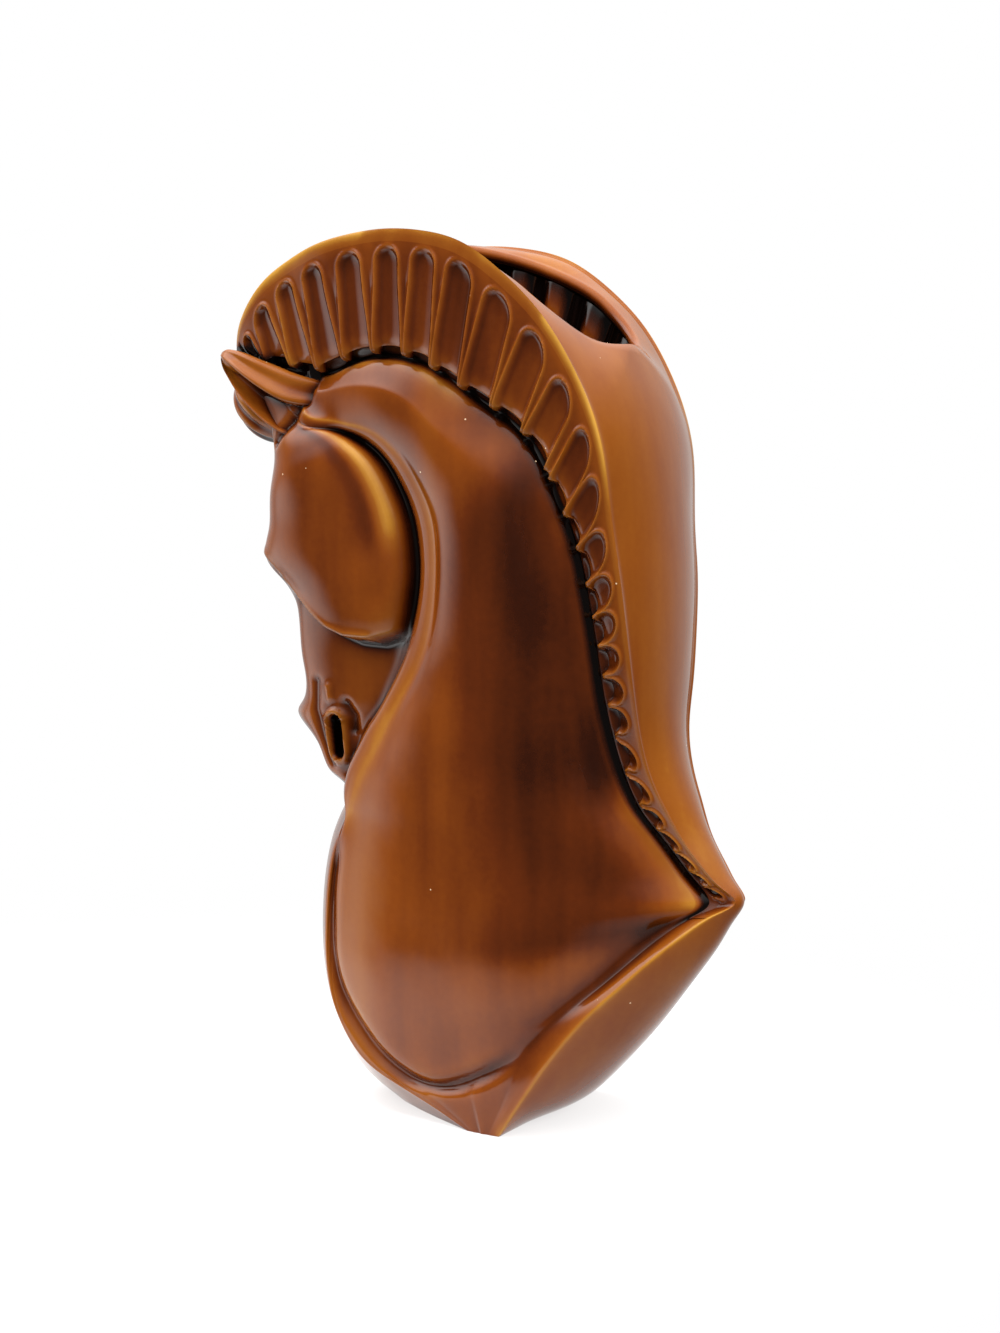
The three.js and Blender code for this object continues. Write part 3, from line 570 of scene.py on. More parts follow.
def hollow(u):
    """Points of the half hollow at stations u, from its front to the foot of its arch."""
    section = skin(u, body_v)
    step = np.hypot(np.diff(section[..., 0], axis=1), np.diff(section[..., 1], axis=1))
    way = np.concatenate([np.zeros((len(u), 1)), np.cumsum(step, 1)], 1)
    reach = np.linspace(-WALL, WALL, 9)
    drawn = np.sqrt(WALL**2 - reach**2)
    rows = []
    for along, (x, z, wide) in zip(way, section.transpose(0, 2, 1)):
        crest = np.interp(CREST_AT, body_v, along)
        at = np.interp(HOLLOW_PLACES, body_v, along)
        count = np.arange(len(at))
        low = WALL + 1 + LOW_GAP * count
        high = np.maximum(max(crest - BELOW_CREST, low[-1]) - HIGH_GAP * count[::-1], low)
        at = np.maximum.accumulate(np.clip(at, low, high))
        width = np.min(np.interp(at[:, None] + reach, along, wide) - drawn, axis=1)
        width = np.maximum(width, HOLLOW_LEAST)
        width[0] = 0
        rows.append(np.column_stack([np.interp(at, along, x), np.interp(at, along, z), width]))
    return np.array(rows)


print("the wall is", WALL, "mm and the floor", FLOOR, "mm")

# %% [markdown]
# The flutes stand at their own stations along the mane. Each row of the mesh needs to know how far it
# lies from the middle of the nearest flute, and how big that flute is, both outside and in the hollow.
# Pairs of numbers are (station, value): on the lower stretch the flutes reach closer to the crest's edge.

# %% Where the flutes stand
FLUTES = np.array([
    0.9, 1.75, 2.7, 3.7, 4.9, 6.05, 7.05, 8, 9, 10.05, 11.1, 12.3, 13.3, 14.2, 15, 15.65, 16.3, 17,
    17.7, 18.6, 19.5, 20.3, 21.1, 21.9, 22.7, 23.4,
])
FLUTE_GAPS = np.diff(FLUTES)
FLUTE_MIDDLES = (FLUTES[1:] + FLUTES[:-1]) / 2
FLUTE_TOPS = [(11, 4.4), (14, 2.0)]
FLUTE_HALF = 6.8
FLUTE_SHARES = [(0, 0.29), (6, 0.31), (9, 0.36), (12, 0.42), (26, 0.44)]
FLUTE_FOOT_SHARE = 0.46
BAND_SHARE = 0.42


def by_station(u, pairs):
    """A value at stations u, from (station, value) pairs."""
    return np.interp(u, *np.transpose(pairs))


def flute_across(u):
    """Stations between each row and the nearest flute's middle."""
    return np.abs(np.subtract.outer(u, FLUTES)).min(1)


def flute_half(u):
    """Half width of the flutes near each row, from the pitch that they have on the crest's edge."""
    pitch = np.hypot(*np.diff(smooth_line(CREST, FLUTES), axis=0)[:, :2].T)
    depth = span(smooth_line(GROOVE, u), smooth_line(CREST, u))
    half = by_station(u, FLUTE_SHARES) * np.interp(u, FLUTE_MIDDLES, pitch)
    return np.minimum(np.minimum(FLUTE_HALF, half), BAND_SHARE * depth)


def station_length(points, u):
    """Millimetres for each station at each point of a grid."""
    return np.hypot(np.gradient(points[..., 0], u, axis=0), np.gradient(points[..., 1], u, axis=0))


print(len(FLUTES), "flutes on each side, the widest", 2 * flute_half(FLUTES).max().round(1), "mm")

# %% [markdown]
# One half of the closed body is three grids that share their edges: the skin, the lip of the mouth, and
# the hollow. The other half is its mirror image. Welding the two leaves no seam in the mesh.
# Each point also carries two facts for the glaze: whether its own relief colours it, and its honey,
# which says how far the glaze has run off there, with painted highlights and painted shade laid in.
# Less than 0 is dark: deep glaze, and painted shade in the groove, the nostril and the mouth.

# %% Grids of points as a closed mesh
WELD, SLIVER = 2e-6, 1e-6
HOLE_SIDES = 8


class Shell:
    """Vertices and faces, gathered patch by patch, then mirrored and welded."""

    def __init__(self):
        self.points, self.faces, self.kinds, self.seen, self.honey_and_shade = [], [], [], [], []

    def add(self, grid, seen=0.0, honey_and_shade=0.0):
        """Puts a grid of (x, z, half width) points in, on the near side, and gives their numbers."""
        first = sum(len(p) for p in self.points)
        flat = grid.reshape(-1, 3)
        self.seen.append(np.broadcast_to(seen, grid.shape[:2]).ravel())
        self.honey_and_shade.append(np.broadcast_to(honey_and_shade, grid.shape[:2]).ravel())
        self.points.append(np.column_stack([flat[:, 0], -flat[:, 2], flat[:, 1]]))
        return first + np.arange(len(flat)).reshape(grid.shape[:2])

    def quads(self, ids, kind=0):
        """Faces between the neighbours in a grid of point numbers."""
        self.faces.append(squares(ids))
        self.kinds.append(np.full(len(self.faces[-1]), kind))

    def close(self, ids):
        """Closes the open end of a half tube with strips between its two rows of points."""
        half = len(ids) // 2
        self.quads(np.stack([ids[:half], ids[::-1][:half]], 1))
        if len(ids) % 2:
            self.faces.append(ids[[half - 1, half, half + 1, half + 1]][None])
            self.kinds.append(np.zeros(1))

    def mesh(self, name):
        """Both halves as one mesh."""
        points, faces = np.concatenate(self.points), np.concatenate(self.faces)
        both = np.concatenate([faces, faces[:, ::-1] + len(points)])
        points = np.concatenate([points, points * (1, -1, 1)])
        kinds, seen, honey_and_shade = (np.tile(np.concatenate(n), 2) for n in (self.kinds, self.seen, self.honey_and_shade))
        return welded(name, points, both, kinds, {"seen": seen, "honey_and_shade": honey_and_shade})


def squares(ids):
    """The four corners of each square in a grid of point numbers."""
    corners = ids[:-1, :-1], ids[:-1, 1:], ids[1:, 1:], ids[1:, :-1]
    return np.stack(corners, -1).reshape(-1, 4)


def welded(name, points, faces, kinds, facts):
    """A mesh in metres from points in millimetres, with doubles merged and faces turned outwards."""
    mesh = bpy.data.meshes.new(name)
    mesh.from_pydata((points * MM).tolist(), [], faces.tolist())
    mesh.polygons.foreach_set("material_index", kinds.astype(np.int32))
    for fact, values in facts.items():
        mesh.attributes.new(fact, "FLOAT", "POINT").data.foreach_set("value", values.astype(np.float32))
    work = bmesh.new()
    work.from_mesh(mesh)
    bmesh.ops.remove_doubles(work, verts=work.verts, dist=WELD)
    bmesh.ops.dissolve_degenerate(work, edges=work.edges, dist=SLIVER)
    bmesh.ops.holes_fill(work, edges=[e for e in work.edges if e.is_boundary], sides=HOLE_SIDES)
    bmesh.ops.recalc_face_normals(work, faces=work.faces)
    for face in work.faces:
        face.smooth = True
    work.to_mesh(mesh)
    open_edges = sum(1 for e in work.edges if not e.is_manifold)
    work.free()
    print(name, len(mesh.vertices), "points,", len(mesh.polygons), "faces,", open_edges, "open edges")
    return mesh


shell = Shell()
print("points closer than", WELD, "m are merged")

# %% [markdown]
# The fluted plate is a piece of its own, so the skin is sunk a little behind it. On the real vase the
# glaze has run off the crest's edge, the neck's rim and the edge of the cheek, and left them honey. The
# colour adds painted highlights beside the groove, and painted shade that makes the groove, the jowl's
# crease, the nostril and the inside of the mouth near black.

# %% Pocket, honey, painted light and shade, and the skin
POCKET, POCKET_SHARE = 5.0, 0.4
POCKET_ENDS = (0.55, 0.8), (24.9, 25.2)
# Painted shade that darkens the nostril's hole, and the distances over which it fades out.
NOSTRIL_PAINTED_SHADE, NOSTRIL_SHADE_EDGE = -3.0, (1.8, 3.2)
# Lines of honey, painted highlight and painted shade: place along the handles, reach, first and last
# station, strength.
HONEY_AND_SHADE_LINES = [
    (CREST_AT - 0.2, 0.9, 1, 13, 1.4),
    (CREST_AT - 0.2, 0.8, 13, 24.5, -0.4),
    (CREST_AT, 1.2, 24, 33, 0.9),
    (CREST_AT + 3.5, 2.4, 4, 23, 0.5),
    # Honey on the rounded shoulder beside the groove, with a painted highlight along it.
    (GROOVE_AT - 2.0, 0.9, 1.5, 8.5, 1.5),
    (GROOVE_AT - 2.2, 1.0, 20, 24.5, 1.9),
    (RIM_AT + 0.1, 0.8, 3.0, 22, 1.6),
    (RIM_AT + 0.5, 1.2, 22, 31, 0.5),
    # Honey on the cheek's edge, then painted shade in the jowl's crease.
    (JOWL_AT - 1.35, 0.6, 3, 9.5, 1.8),
    (JOWL_AT - 2.2, 0.4, 3.5, 9.5, -0.9),
    # Darker bands on the neck below the groove and in the fold under the tip, then painted shade in the
    # groove itself.
    (GROOVE_AT - 6.5, 3.0, 10, 16, -0.3),
    (GROOVE_AT - 6, 2.5, 11, 19, -0.15),
    (GROOVE_AT - 3.9, 1.5, 11, 26, -1.3),
    (GROOVE_AT + 0.2, 2.6, 26, 30, -0.3),
    (GROOVE_AT - 0.1, 1.5, 9, 25, -2.6),
]


def sunk_for_mane(points, u, v):
    """The skin with a pocket behind the fluted plate."""
    along = within(u, *POCKET_ENDS)[:, None]
    across = (v > GROOVE_AT + 0.2) & (v < POCKET_TOP - 0.04)
    points = points.copy()
    points[..., 2] -= np.minimum(POCKET, POCKET_SHARE * points[..., 2]) * along * across
    return points


def honey_and_shade_on(points, u, v):
    """How far the glaze has run off each point, with painted highlights and painted shade laid in:
    1 and more is bare honey, less than 0 is dark.
    """
    from_nostril = distance(points[..., 0], points[..., 1], NOSTRIL)
    total = NOSTRIL_PAINTED_SHADE * (1 - ramp(from_nostril, *NOSTRIL_SHADE_EDGE)) * on_snout(v)
    for place_at, reach, first, last, strength in HONEY_AND_SHADE_LINES:
        along = within(u, (first - 1, first + 0.5), (last - 0.5, last + 1))
        total = total + strength * np.outer(along, bell(v - place_at, reach))
    return total


body_points = sunk_for_mane(outer, body_u, body_v)
inside_rim = (body_u > MOUTH_ROWS[0] + 1e-3) & (body_u < MOUTH_ROWS[1] - 1e-3)
body_points[:, 0, 2] = 0
body_points[:, -1, 2] = np.where(inside_rim, body_points[:, -1, 2], 0)
seen_across = within(body_v, (1.5, 3.2), (CREST_AT - 0.1, CREST_AT + 0.9))
skin_ids = shell.add(body_points, seen_across, honey_and_shade_on(body_points, body_u, body_v))
shell.quads(skin_ids)
shell.close(skin_ids[0][::-1])
print("skin points on one side:", skin_ids.size)

# %% [markdown]
# The lip rolls from the rim into the mouth. Past it the casting is hollow, and the flutes show there
# too, as ribs that stand into the room, because a slip casting follows its mould on both sides.
# A row of LIP is the way inward from the rim and the way down, in millimetres, and its honey, which turns
# dark into the mouth as painted shade.

# %% The lip of the mouth and the inside
LIP = [
    (0.5, 0.1, 0.0), (1.2, 0.6, 0.0), (1.7, 1.5, -0.4), (1.8, 2.6, -1.6), (1.3, 3.7, -2.8),
    (0.1, 4.6, -3.6), (-1.8, 5.4, -3.8), (-3.6, 6.8, -3.8),
]
# Painted shade over the inside of the mouth, and painted highlights on the ribs that stand into it.
INSIDE_PAINTED_SHADE, RIB_PAINTED_HIGHLIGHT = -3.8, 1.8
RIB_BULGE, RIB_EDGE, RIB_ROWS = 2.6, (0.3, 1.0), [0, 0.3, 0.9, 1, 0.7, 0.1]
RIB_HIGHLIGHT_ROWS = [1, 1, 1, 0.9, 0.4, 0]
ARCH = 5
ARCH_FROM = 12


def lip(u, rim):
    """The rolled lip: it turns from the rim into the mouth and goes down into the hollow."""
    inward = np.column_stack([np.interp(rim_way(u), RIM_SHARE, RIM_INWARD[:, k]) for k in (0, 1)])
    inward[0], inward[-1] = (1, 0), (-1, 0)
    rows = []
    for turn, down, _ in LIP:
        flat = rim[:, :2] + np.outer(inward[:, 0] * turn, mouth_axis) + mouth_down * down
        rows.append(np.column_stack([flat, rim[:, 2] + inward[:, 1] * turn]))
    rows = np.stack(rows, 1)
    rows[[0, -1], :, 2] = 0
    return rows


def arched(inner, top):
    """An arch of points from the last column of the hollow over to the points at its top."""
    side = inner[:, -1]
    rows = []
    for angle in np.arange(1, ARCH + 1) / ARCH * math.pi / 2:
        flat = between(side[:, :2], top[:, :2], math.sin(angle))
        rows.append(np.column_stack([flat, between(top[:, 2], side[:, 2], max(math.cos(angle), 0))]))
    return np.concatenate([inner, np.stack(rows, 1)], 1)


mouth_rows = np.flatnonzero((body_u >= MOUTH_ROWS[0]) & (body_u <= MOUTH_ROWS[1]))
lip_points = lip(body_u[mouth_rows], body_points[mouth_rows, -1])
lip_ids = shell.add(lip_points, 0.0, [honey_and_shade for _, _, honey_and_shade in LIP])
shell.quads(np.concatenate([skin_ids[mouth_rows, -1:], lip_ids], 1))

inner_rows = np.flatnonzero((body_u >= HOLLOW_ROWS[0]) & (body_u <= HOLLOW_ROWS[1]))
inner_u = body_u[inner_rows]
inner = hollow(inner_u)
across = flute_across(inner_u) * station_length(inner[:, -4:], inner_u).mean(1)
rib = RIB_BULGE * (1 - ramp(across / flute_half(inner_u), *RIB_EDGE))[:, None] * RIB_ROWS
inner[:, -len(RIB_ROWS) :, 2] = np.maximum(inner[:, -len(RIB_ROWS) :, 2] - rib, 1.0)
top = body_points[inner_rows, -1] * (1, 1, 0)
way = (inner[:, -1] - top) * (1, 1, 0)
top += way * (WALL + 1) / np.maximum(np.linalg.norm(way, axis=1), ARCH_FROM)[:, None]
top[np.isin(inner_rows, mouth_rows)] = lip_points[:, -1]
inner = arched(inner, top)
inner[..., 1] = np.maximum(inner[..., 1], FLOOR)
# The hollow is painted dark as shade, with painted highlights along its ribs.
inside_shade_and_highlight = np.full(inner.shape[:2], INSIDE_PAINTED_SHADE)
inside_shade_and_highlight[:, -len(RIB_ROWS) - ARCH : -ARCH] += RIB_PAINTED_HIGHLIGHT * rib * RIB_HIGHLIGHT_ROWS
inner_ids = shell.add(inner, 0.0, inside_shade_and_highlight)
shell.quads(inner_ids[:, ::-1])
shell.close(inner_ids[0])
shell.close(inner_ids[-1][::-1])
print("mouth rows", len(mouth_rows), "and hollow rows", len(inner_rows))

# %% [markdown]
# The foot is a flat ring, wiped bare of glaze, and a shallow hollow inside it, so that the vase stands
# on its edge and doesn't rock. FOOT_RING has the way in from the outline, and the height there.

# %% The foot
FOOT_RING = [(3.5, 0.0), (4.3, 1.4)]
CLAY_KIND = 1
BODY_CREASE = 62
foot = body_points[-1]
size = np.maximum(np.hypot(foot[:, 0], foot[:, 2]), 1)
loops = [foot]
for inset, rise in FOOT_RING:
    loop = foot * (1 - inset / size)[:, None]
    loop[:, 1] = rise
    loops.append(loop)
loops.append(np.tile([0.0, FOOT_RING[-1][1], 0.0], (len(foot), 1)))
loop_ids = [skin_ids[-1]] + [shell.add(loop[None])[0] for loop in loops[1:]]
shell.quads(np.stack(loop_ids), CLAY_KIND)
body_mesh = shell.mesh("body")
body_mesh.set_sharp_from_angle(angle=math.radians(BODY_CREASE))

# %% [markdown]
# The flutes repeat along the mane, so Geometry Nodes raise them. The base mesh is the mane's smooth band,
# and it carries what a node tree needs to know at each point: how far it is across from the nearest
# flute, how far up from the groove, how tall and wide that flute is, and which way is out.
# Each point moves out by a height: a rolled rim round each flute, less a dished channel inside it, less a
# drop where the channel opens into the groove, less a dip in the rib between two flutes.

# %% A node tree in a few lines
MATH, STEP, SOFT = "ShaderNodeMath", "ShaderNodeMapRange", "SMOOTHSTEP"


class Tree:
    """Adds nodes to a tree, one call for a node."""

    def __init__(self, tree):
        self.tree = tree

    def add(self, kind, inputs=(), out=0, **settings):
        """A node with its settings, then its inputs by name or in order; gives the output asked for."""
        node = self.tree.nodes.new(kind)
        for key, value in settings.items():
            setattr(node, key, value)
        for key, value in inputs.items() if isinstance(inputs, dict) else enumerate(inputs):
            if isinstance(value, bpy.types.NodeSocket):
                self.tree.links.new(value, node.inputs[key])
            else:
                node.inputs[key].default_value = value
        return node.outputs[out] if len(node.outputs) else None


FLUTE_SIZES = {
    "Rim height": 0.8, "Rim width": 0.6, "Wall width": 2.4, "Channel depth": 1.1, "Dish depth": 0.6,
    "Foot drop": 1.0, "Foot reach": 5.0, "Rib dip": 0.6, "Rib reach": 12.0,
}
# From the flute's edge, in shares of its half width: less than 0 is inside it.
DISH_RANGE, FOOT_RANGE, RIB_RANGE = (-1.0, -0.1), (-0.5, 0.0), (0.12, 0.5)


def flute_tree():
    """Raised rims, sunk channels that open into the groove, and the dip between two flutes."""
    group = bpy.data.node_groups.new("Crest flutes", "GeometryNodeTree")
    sockets = group.interface
    sockets.new_socket("Geometry", in_out="INPUT", socket_type="NodeSocketGeometry")
    for name, millimetres in FLUTE_SIZES.items():
        made = sockets.new_socket(name, in_out="INPUT", socket_type="NodeSocketFloat")
        made.default_value = millimetres * MM
    sockets.new_socket("Glaze", in_out="INPUT", socket_type="NodeSocketMaterial")
    sockets.new_socket("Geometry", in_out="OUTPUT", socket_type="NodeSocketGeometry")
    t = Tree(group)
    given = group.nodes.new("NodeGroupInput").outputs
    named = "GeometryNodeInputNamedAttribute"
    facts = ("up", "tall", "aside", "half", "free")
    up, tall, aside, half, free = (t.add(named, [fact]) for fact in facts)
    out = t.add(named, ["out"], data_type="FLOAT_VECTOR")

    # How far each point lies outside the flute's edge: less than 0 is inside.
    above = t.add(MATH, [up, tall], operation="SUBTRACT")
    above = t.add(MATH, [above, 0.0], operation="MAXIMUM")
    above = t.add(MATH, [above, above], operation="MULTIPLY")
    across = t.add(MATH, [aside, aside], operation="MULTIPLY")
    away = t.add(MATH, [across, above], operation="ADD")
    away = t.add(MATH, [away], operation="SQRT")
    edge = t.add(MATH, [away, half], operation="SUBTRACT")
    share = t.add(MATH, [edge, half], operation="DIVIDE")

    # The rim is a bell over the edge.
    bow = t.add(MATH, [edge, given["Rim width"]], operation="DIVIDE")
    bow = t.add(MATH, [bow, bow], operation="MULTIPLY")
    bow = t.add(MATH, [bow, -1.0], operation="MULTIPLY")
    bow = t.add(MATH, [bow], operation="EXPONENT")
    rim = t.add(MATH, [bow, given["Rim height"]], operation="MULTIPLY")

    # The channel: steep walls, then a shallow dish.
    wall = t.add(MATH, [edge, given["Wall width"]], operation="DIVIDE")
    inside = t.add(STEP, [wall, -1.0, 0.0, 1.0, 0.0], interpolation_type=SOFT)
    dish = t.add(STEP, [share, *DISH_RANGE, 1.0, 0.0], interpolation_type=SOFT)
    dish = t.add(MATH, [dish, given["Dish depth"]], operation="MULTIPLY")
    sunk = t.add(MATH, [inside, given["Channel depth"], dish], operation="MULTIPLY_ADD")

    # The drop at the channel's foot, and the dip of the rib above the groove.
    foot = t.add(STEP, [up, 0.0, given["Foot reach"], 1.0, 0.0], interpolation_type=SOFT)
    opening = t.add(STEP, [share, *FOOT_RANGE, 1.0, 0.0], interpolation_type=SOFT)
    drop = t.add(MATH, [foot, opening], operation="MULTIPLY")
    sunk = t.add(MATH, [drop, given["Foot drop"], sunk], operation="MULTIPLY_ADD")
    below = t.add(MATH, [tall, up], operation="SUBTRACT")
    low = t.add(STEP, [below, 0.0, given["Rib reach"], 0.0, 1.0], interpolation_type=SOFT)
    outside = t.add(STEP, [share, *RIB_RANGE, 0.0, 1.0], interpolation_type=SOFT)
    dip = t.add(MATH, [outside, low], operation="MULTIPLY")
    sunk = t.add(MATH, [dip, given["Rib dip"], sunk], operation="MULTIPLY_ADD")

    height = t.add(MATH, [rim, sunk], operation="SUBTRACT")
    height = t.add(MATH, [height, free], operation="MULTIPLY")
    move = t.add("ShaderNodeVectorMath", {0: out, "Scale": height}, operation="SCALE")
    moved = t.add("GeometryNodeSetPosition", {"Geometry": given["Geometry"], "Offset": move})
    real = t.add("GeometryNodeRealizeInstances", [moved])
    done = t.add("GeometryNodeSetMaterial", {"Geometry": real, "Material": given["Glaze"]})
    t.add("NodeGroupOutput", [done])
    return group


flutes = flute_tree()
print("the flute tree has", len(flutes.nodes), "nodes")

# %% The band that carries the flutes
MANE_ROWS, MANE_COLUMNS = 820, 58
MANE_ENDS = (0.62, 25.1)
MANE_FREE = (MANE_ENDS[0], 1.0), (24.2, MANE_ENDS[1])
BAND_FREE = (GROOVE_AT + 0.3, GROOVE_AT + 1.6), (POCKET_TOP - 0.5, POCKET_TOP - 0.05)
MANE_FOOT = GROOVE_AT + 1.5
MANE_BACK, MANE_BACK_SHARE = 4.4, 0.3
FOOT_BLEND = (-0.05, 0.85)


def mane_base():
    """The near mane as rings, outer band then back, with what the node tree reads at each point."""
    u = even_rows(*MANE_ENDS, MANE_ROWS, [CREST])
    v = np.linspace(GROOVE_AT + 0.05, POCKET_TOP, MANE_COLUMNS)
    band = skin(u, v)
    space = np.stack([band[..., 0], -band[..., 2], band[..., 1]], -1)
    out = np.cross(np.gradient(space, axis=1), np.gradient(space, axis=0))
    out /= np.linalg.norm(out, axis=-1)[..., None]
    out *= -np.sign(out[..., 1:2])
    groove = skin(u, np.array([MANE_FOOT]))[:, 0]
    long = span(groove, smooth_line(CREST, u))
    up = np.hypot(band[..., 0] - groove[:, None, 0], band[..., 1] - groove[:, None, 1])
    up *= np.where(v < MANE_FOOT, -1, 1)
    half = flute_half(u)
    tall = np.maximum(long - np.minimum(by_station(u, FLUTE_TOPS), BAND_SHARE * long) - half, 0.2)
    length = station_length(band, u)
    gap = np.interp(u, FLUTE_MIDDLES, FLUTE_GAPS)
    foot_half = np.minimum(FLUTE_FOOT_SHARE * length * gap[:, None], FLUTE_HALF)
    share_up = up / np.maximum(tall, 1)[:, None]
    back = band[:, [-1, -1, MANE_COLUMNS // 2, 0, 0]].copy()
    back[..., 2] -= np.minimum(MANE_BACK, MANE_BACK_SHARE * back[..., 2]) * [0.5, 1, 1, 1, 0.5]
    back[:, 0, :2] = between(back[:, 0, :2], band[:, -2, :2], 0.6)
    facts = {
        "up": up * MM,
        "tall": np.broadcast_to(tall[:, None], up.shape) * MM,
        "aside": flute_across(u)[:, None] * length * MM,
        "half": between(foot_half, half[:, None], ramp(share_up, *FOOT_BLEND)) * MM,
        "free": np.outer(within(u, *MANE_FREE), within(v, *BAND_FREE)),
    }
    return np.concatenate([band, back], 1), facts, out


def ring_squares(ids):
    """The four corners of each square in a grid of point numbers whose rows are closed rings."""
    return squares(np.concatenate([ids, ids[:, :1]], 1))


def made_real(piece):
    """Turns what a piece's modifiers make into its plain mesh, and removes them."""
    bpy.context.view_layer.update()
    evaluated = piece.evaluated_get(bpy.context.evaluated_depsgraph_get())
    real = bpy.data.meshes.new_from_object(evaluated)
    piece.modifiers.clear()
    piece.data = real


def placed(name, data):
    """A new object in the scene, at the origin, from a mesh, a lamp or a lens."""
    made = bpy.data.objects.new(name, data)
    bpy.context.scene.collection.objects.link(made)
    return made


mane_rings, mane_facts, mane_out = mane_base()
print("a mane has", mane_rings.shape[0], "rings of", mane_rings.shape[1], "points")

# %% One mane
MANE_CREASE = 70


def mane_piece(name, side, glaze):
    """One mane: the ring mesh, its attributes, and the flutes made real."""
    rows, around = mane_rings.shape[:2]
    x, z, wide = mane_rings.reshape(-1, 3).T
    ids = np.arange(rows * around).reshape(rows, around)
    faces = ring_squares(ids).tolist() + [ids[0][::-1].tolist(), ids[-1].tolist()]
    if side < 0:
        faces = [face[::-1] for face in faces]
    mesh = bpy.data.meshes.new(name)
    mesh.from_pydata((np.column_stack([x, side * wide, z]) * MM).tolist(), [], faces)
    for key, values in mane_facts.items():
        full = np.zeros((rows, around), np.float32)
        full[:, :MANE_COLUMNS] = values
        mesh.attributes.new(key, "FLOAT", "POINT").data.foreach_set("value", full.ravel())
    out = np.zeros((rows, around, 3), np.float32)
    out[:, :MANE_COLUMNS] = mane_out * (1, -side, 1)
    mesh.attributes.new("out", "FLOAT_VECTOR", "POINT").data.foreach_set("vector", out.ravel())
    piece = placed(name, mesh)
    modifier = piece.modifiers.new("Flutes", "NODES")
    modifier.node_group = flutes
    for socket in flutes.interface.items_tree:
        if socket.in_out == "INPUT" and socket.name == "Glaze":
            modifier[socket.identifier] = glaze
    made_real(piece)
    piece.data.polygons.foreach_set("use_smooth", np.ones(len(piece.data.polygons), bool))
    piece.data.set_sharp_from_angle(angle=math.radians(MANE_CREASE))
    print(name, len(piece.data.vertices), "points")
    return piece


print("the node tree reads", sorted(mane_facts), "and out at each point")

# %% [markdown]
# An ear is a leaf rolled into a cup and laid back along the head. It is made as rings from its root to
# its tip, and each ring is an oval whose outer side is pressed in where the cup is. EAR_LINE is its
# middle line (x, y, z), and EAR_SECTION one ring (outward, up) in shares of its thickness and height.
# The forelock between the ears is a rounded tuft with a few combed strands.

# %% The ears
EAR_LINE = [
    (-49, 20, 245), (-57, 22.5, 246.3), (-65, 24, 250), (-73, 25, 254.8), (-81, 25, 260),
    (-88, 24.5, 264.3),
]
EAR_TALL = [9.0, 9.8, 9.2, 7.6, 5.4, 2.4]
EAR_THICK = [4.0, 6.4, 6.8, 5.8, 4.2, 2.0]
EAR_SECTION = [
    (-0.1, 1.04), (0.3, 1.04), (0.52, 0.92), (0.55, 0.76), (0.56, 0.58), (0.72, 0.42), (0.93, 0.28),
    (0.95, 0.12), (0.62, 0.02), (-0.05, -0.16), (-0.42, -0.44), (-0.1, -0.76), (0.48, -0.94),
    (0.52, -1.06), (0.05, -1.08), (-0.5, -0.8), (-0.9, -0.1), (-0.6, 0.75),
]
EAR_RINGS, EAR_AROUND = 70, 72
EAR_TIP, EAR_TIP_SECTION, EAR_TIP_LEAST = 0.5, 0.35, 0.05
EAR_CUP_ENDS = (1.6, 0.3)
EAR_FLAT, EAR_LEAN = 0.9, 0.2
POINTED = 0.3


def ring_mesh(name, rings, side):
    """Closed rings of (x, y, z) from end to end as a mesh with pointed ends."""
    rows, around = rings.shape[:2]
    middles = rings.mean(1)
    ends = [between(middles[a], middles[b], -POINTED) for a, b in ((0, 1), (-1, -2))]
    points = np.concatenate([rings.reshape(-1, 3), ends]) * (1, side, 1)
    ids = np.arange(rows * around).reshape(rows, around)
    faces = [ring_squares(ids)]
    for loop, tip in ((ids[0], rows * around), (ids[-1], rows * around + 1)):
        tips = np.full(around, tip)
        faces.append(np.column_stack([loop, np.roll(loop, -1), tips, tips]))
    faces = np.concatenate(faces)
    return welded(name, points, faces, np.zeros(len(faces)), {"seen": np.ones(len(points))})


def ear_rings():
    """Rings of the right ear, that close to a round tip."""
    last = len(EAR_LINE) - 1
    at = np.linspace(0, last, EAR_RINGS)
    line = smooth_line(EAR_LINE, at)
    past = np.clip((at - last + EAR_TIP) / EAR_TIP, 0, 1)
    size = np.maximum(np.sqrt(1 - past**2), EAR_TIP_LEAST)
    tall, thick = (smooth_line(n, at)[:, 0] * size for n in (EAR_TALL, EAR_THICK))
    count = len(EAR_SECTION)
    section = smooth_line(EAR_SECTION * 3, count + np.linspace(0, count, EAR_AROUND, endpoint=False))
    turn = np.arctan2(section[:, 1], section[:, 0])
    plain = np.column_stack([EAR_FLAT * np.cos(turn), np.sin(turn)])
    flatter = ramp(at, last - EAR_CUP_ENDS[0], last - EAR_CUP_ENDS[1]) * (1 - EAR_TIP_SECTION)
    cupped = (1 - flatter)[:, None]
    outward, lift = (between(plain[None, :, k], section[None, :, k], cupped) for k in (0, 1))
    y = line[:, 1:2] + thick[:, None] * outward
    z = line[:, 2:3] + tall[:, None] * lift
    x = line[:, 0:1] + EAR_LEAN * tall[:, None] * lift
    return np.stack([x, y, z], -1)


ear_shape = ear_rings()
print("ear", ear_shape.shape)

# %% The forelock
FORELOCK_MIDDLE = (-80.8, 248)
FORELOCK_LONG, FORELOCK_WIDE, FORELOCK_DEEP = 17, 17, 13
FORELOCK_TURN = 0.75
FORELOCK_RINGS, FORELOCK_AROUND, FORELOCK_ENDS = 60, 96, (0.02, 0.98)
STRANDS, STRAND_RISE = 13, 0.055


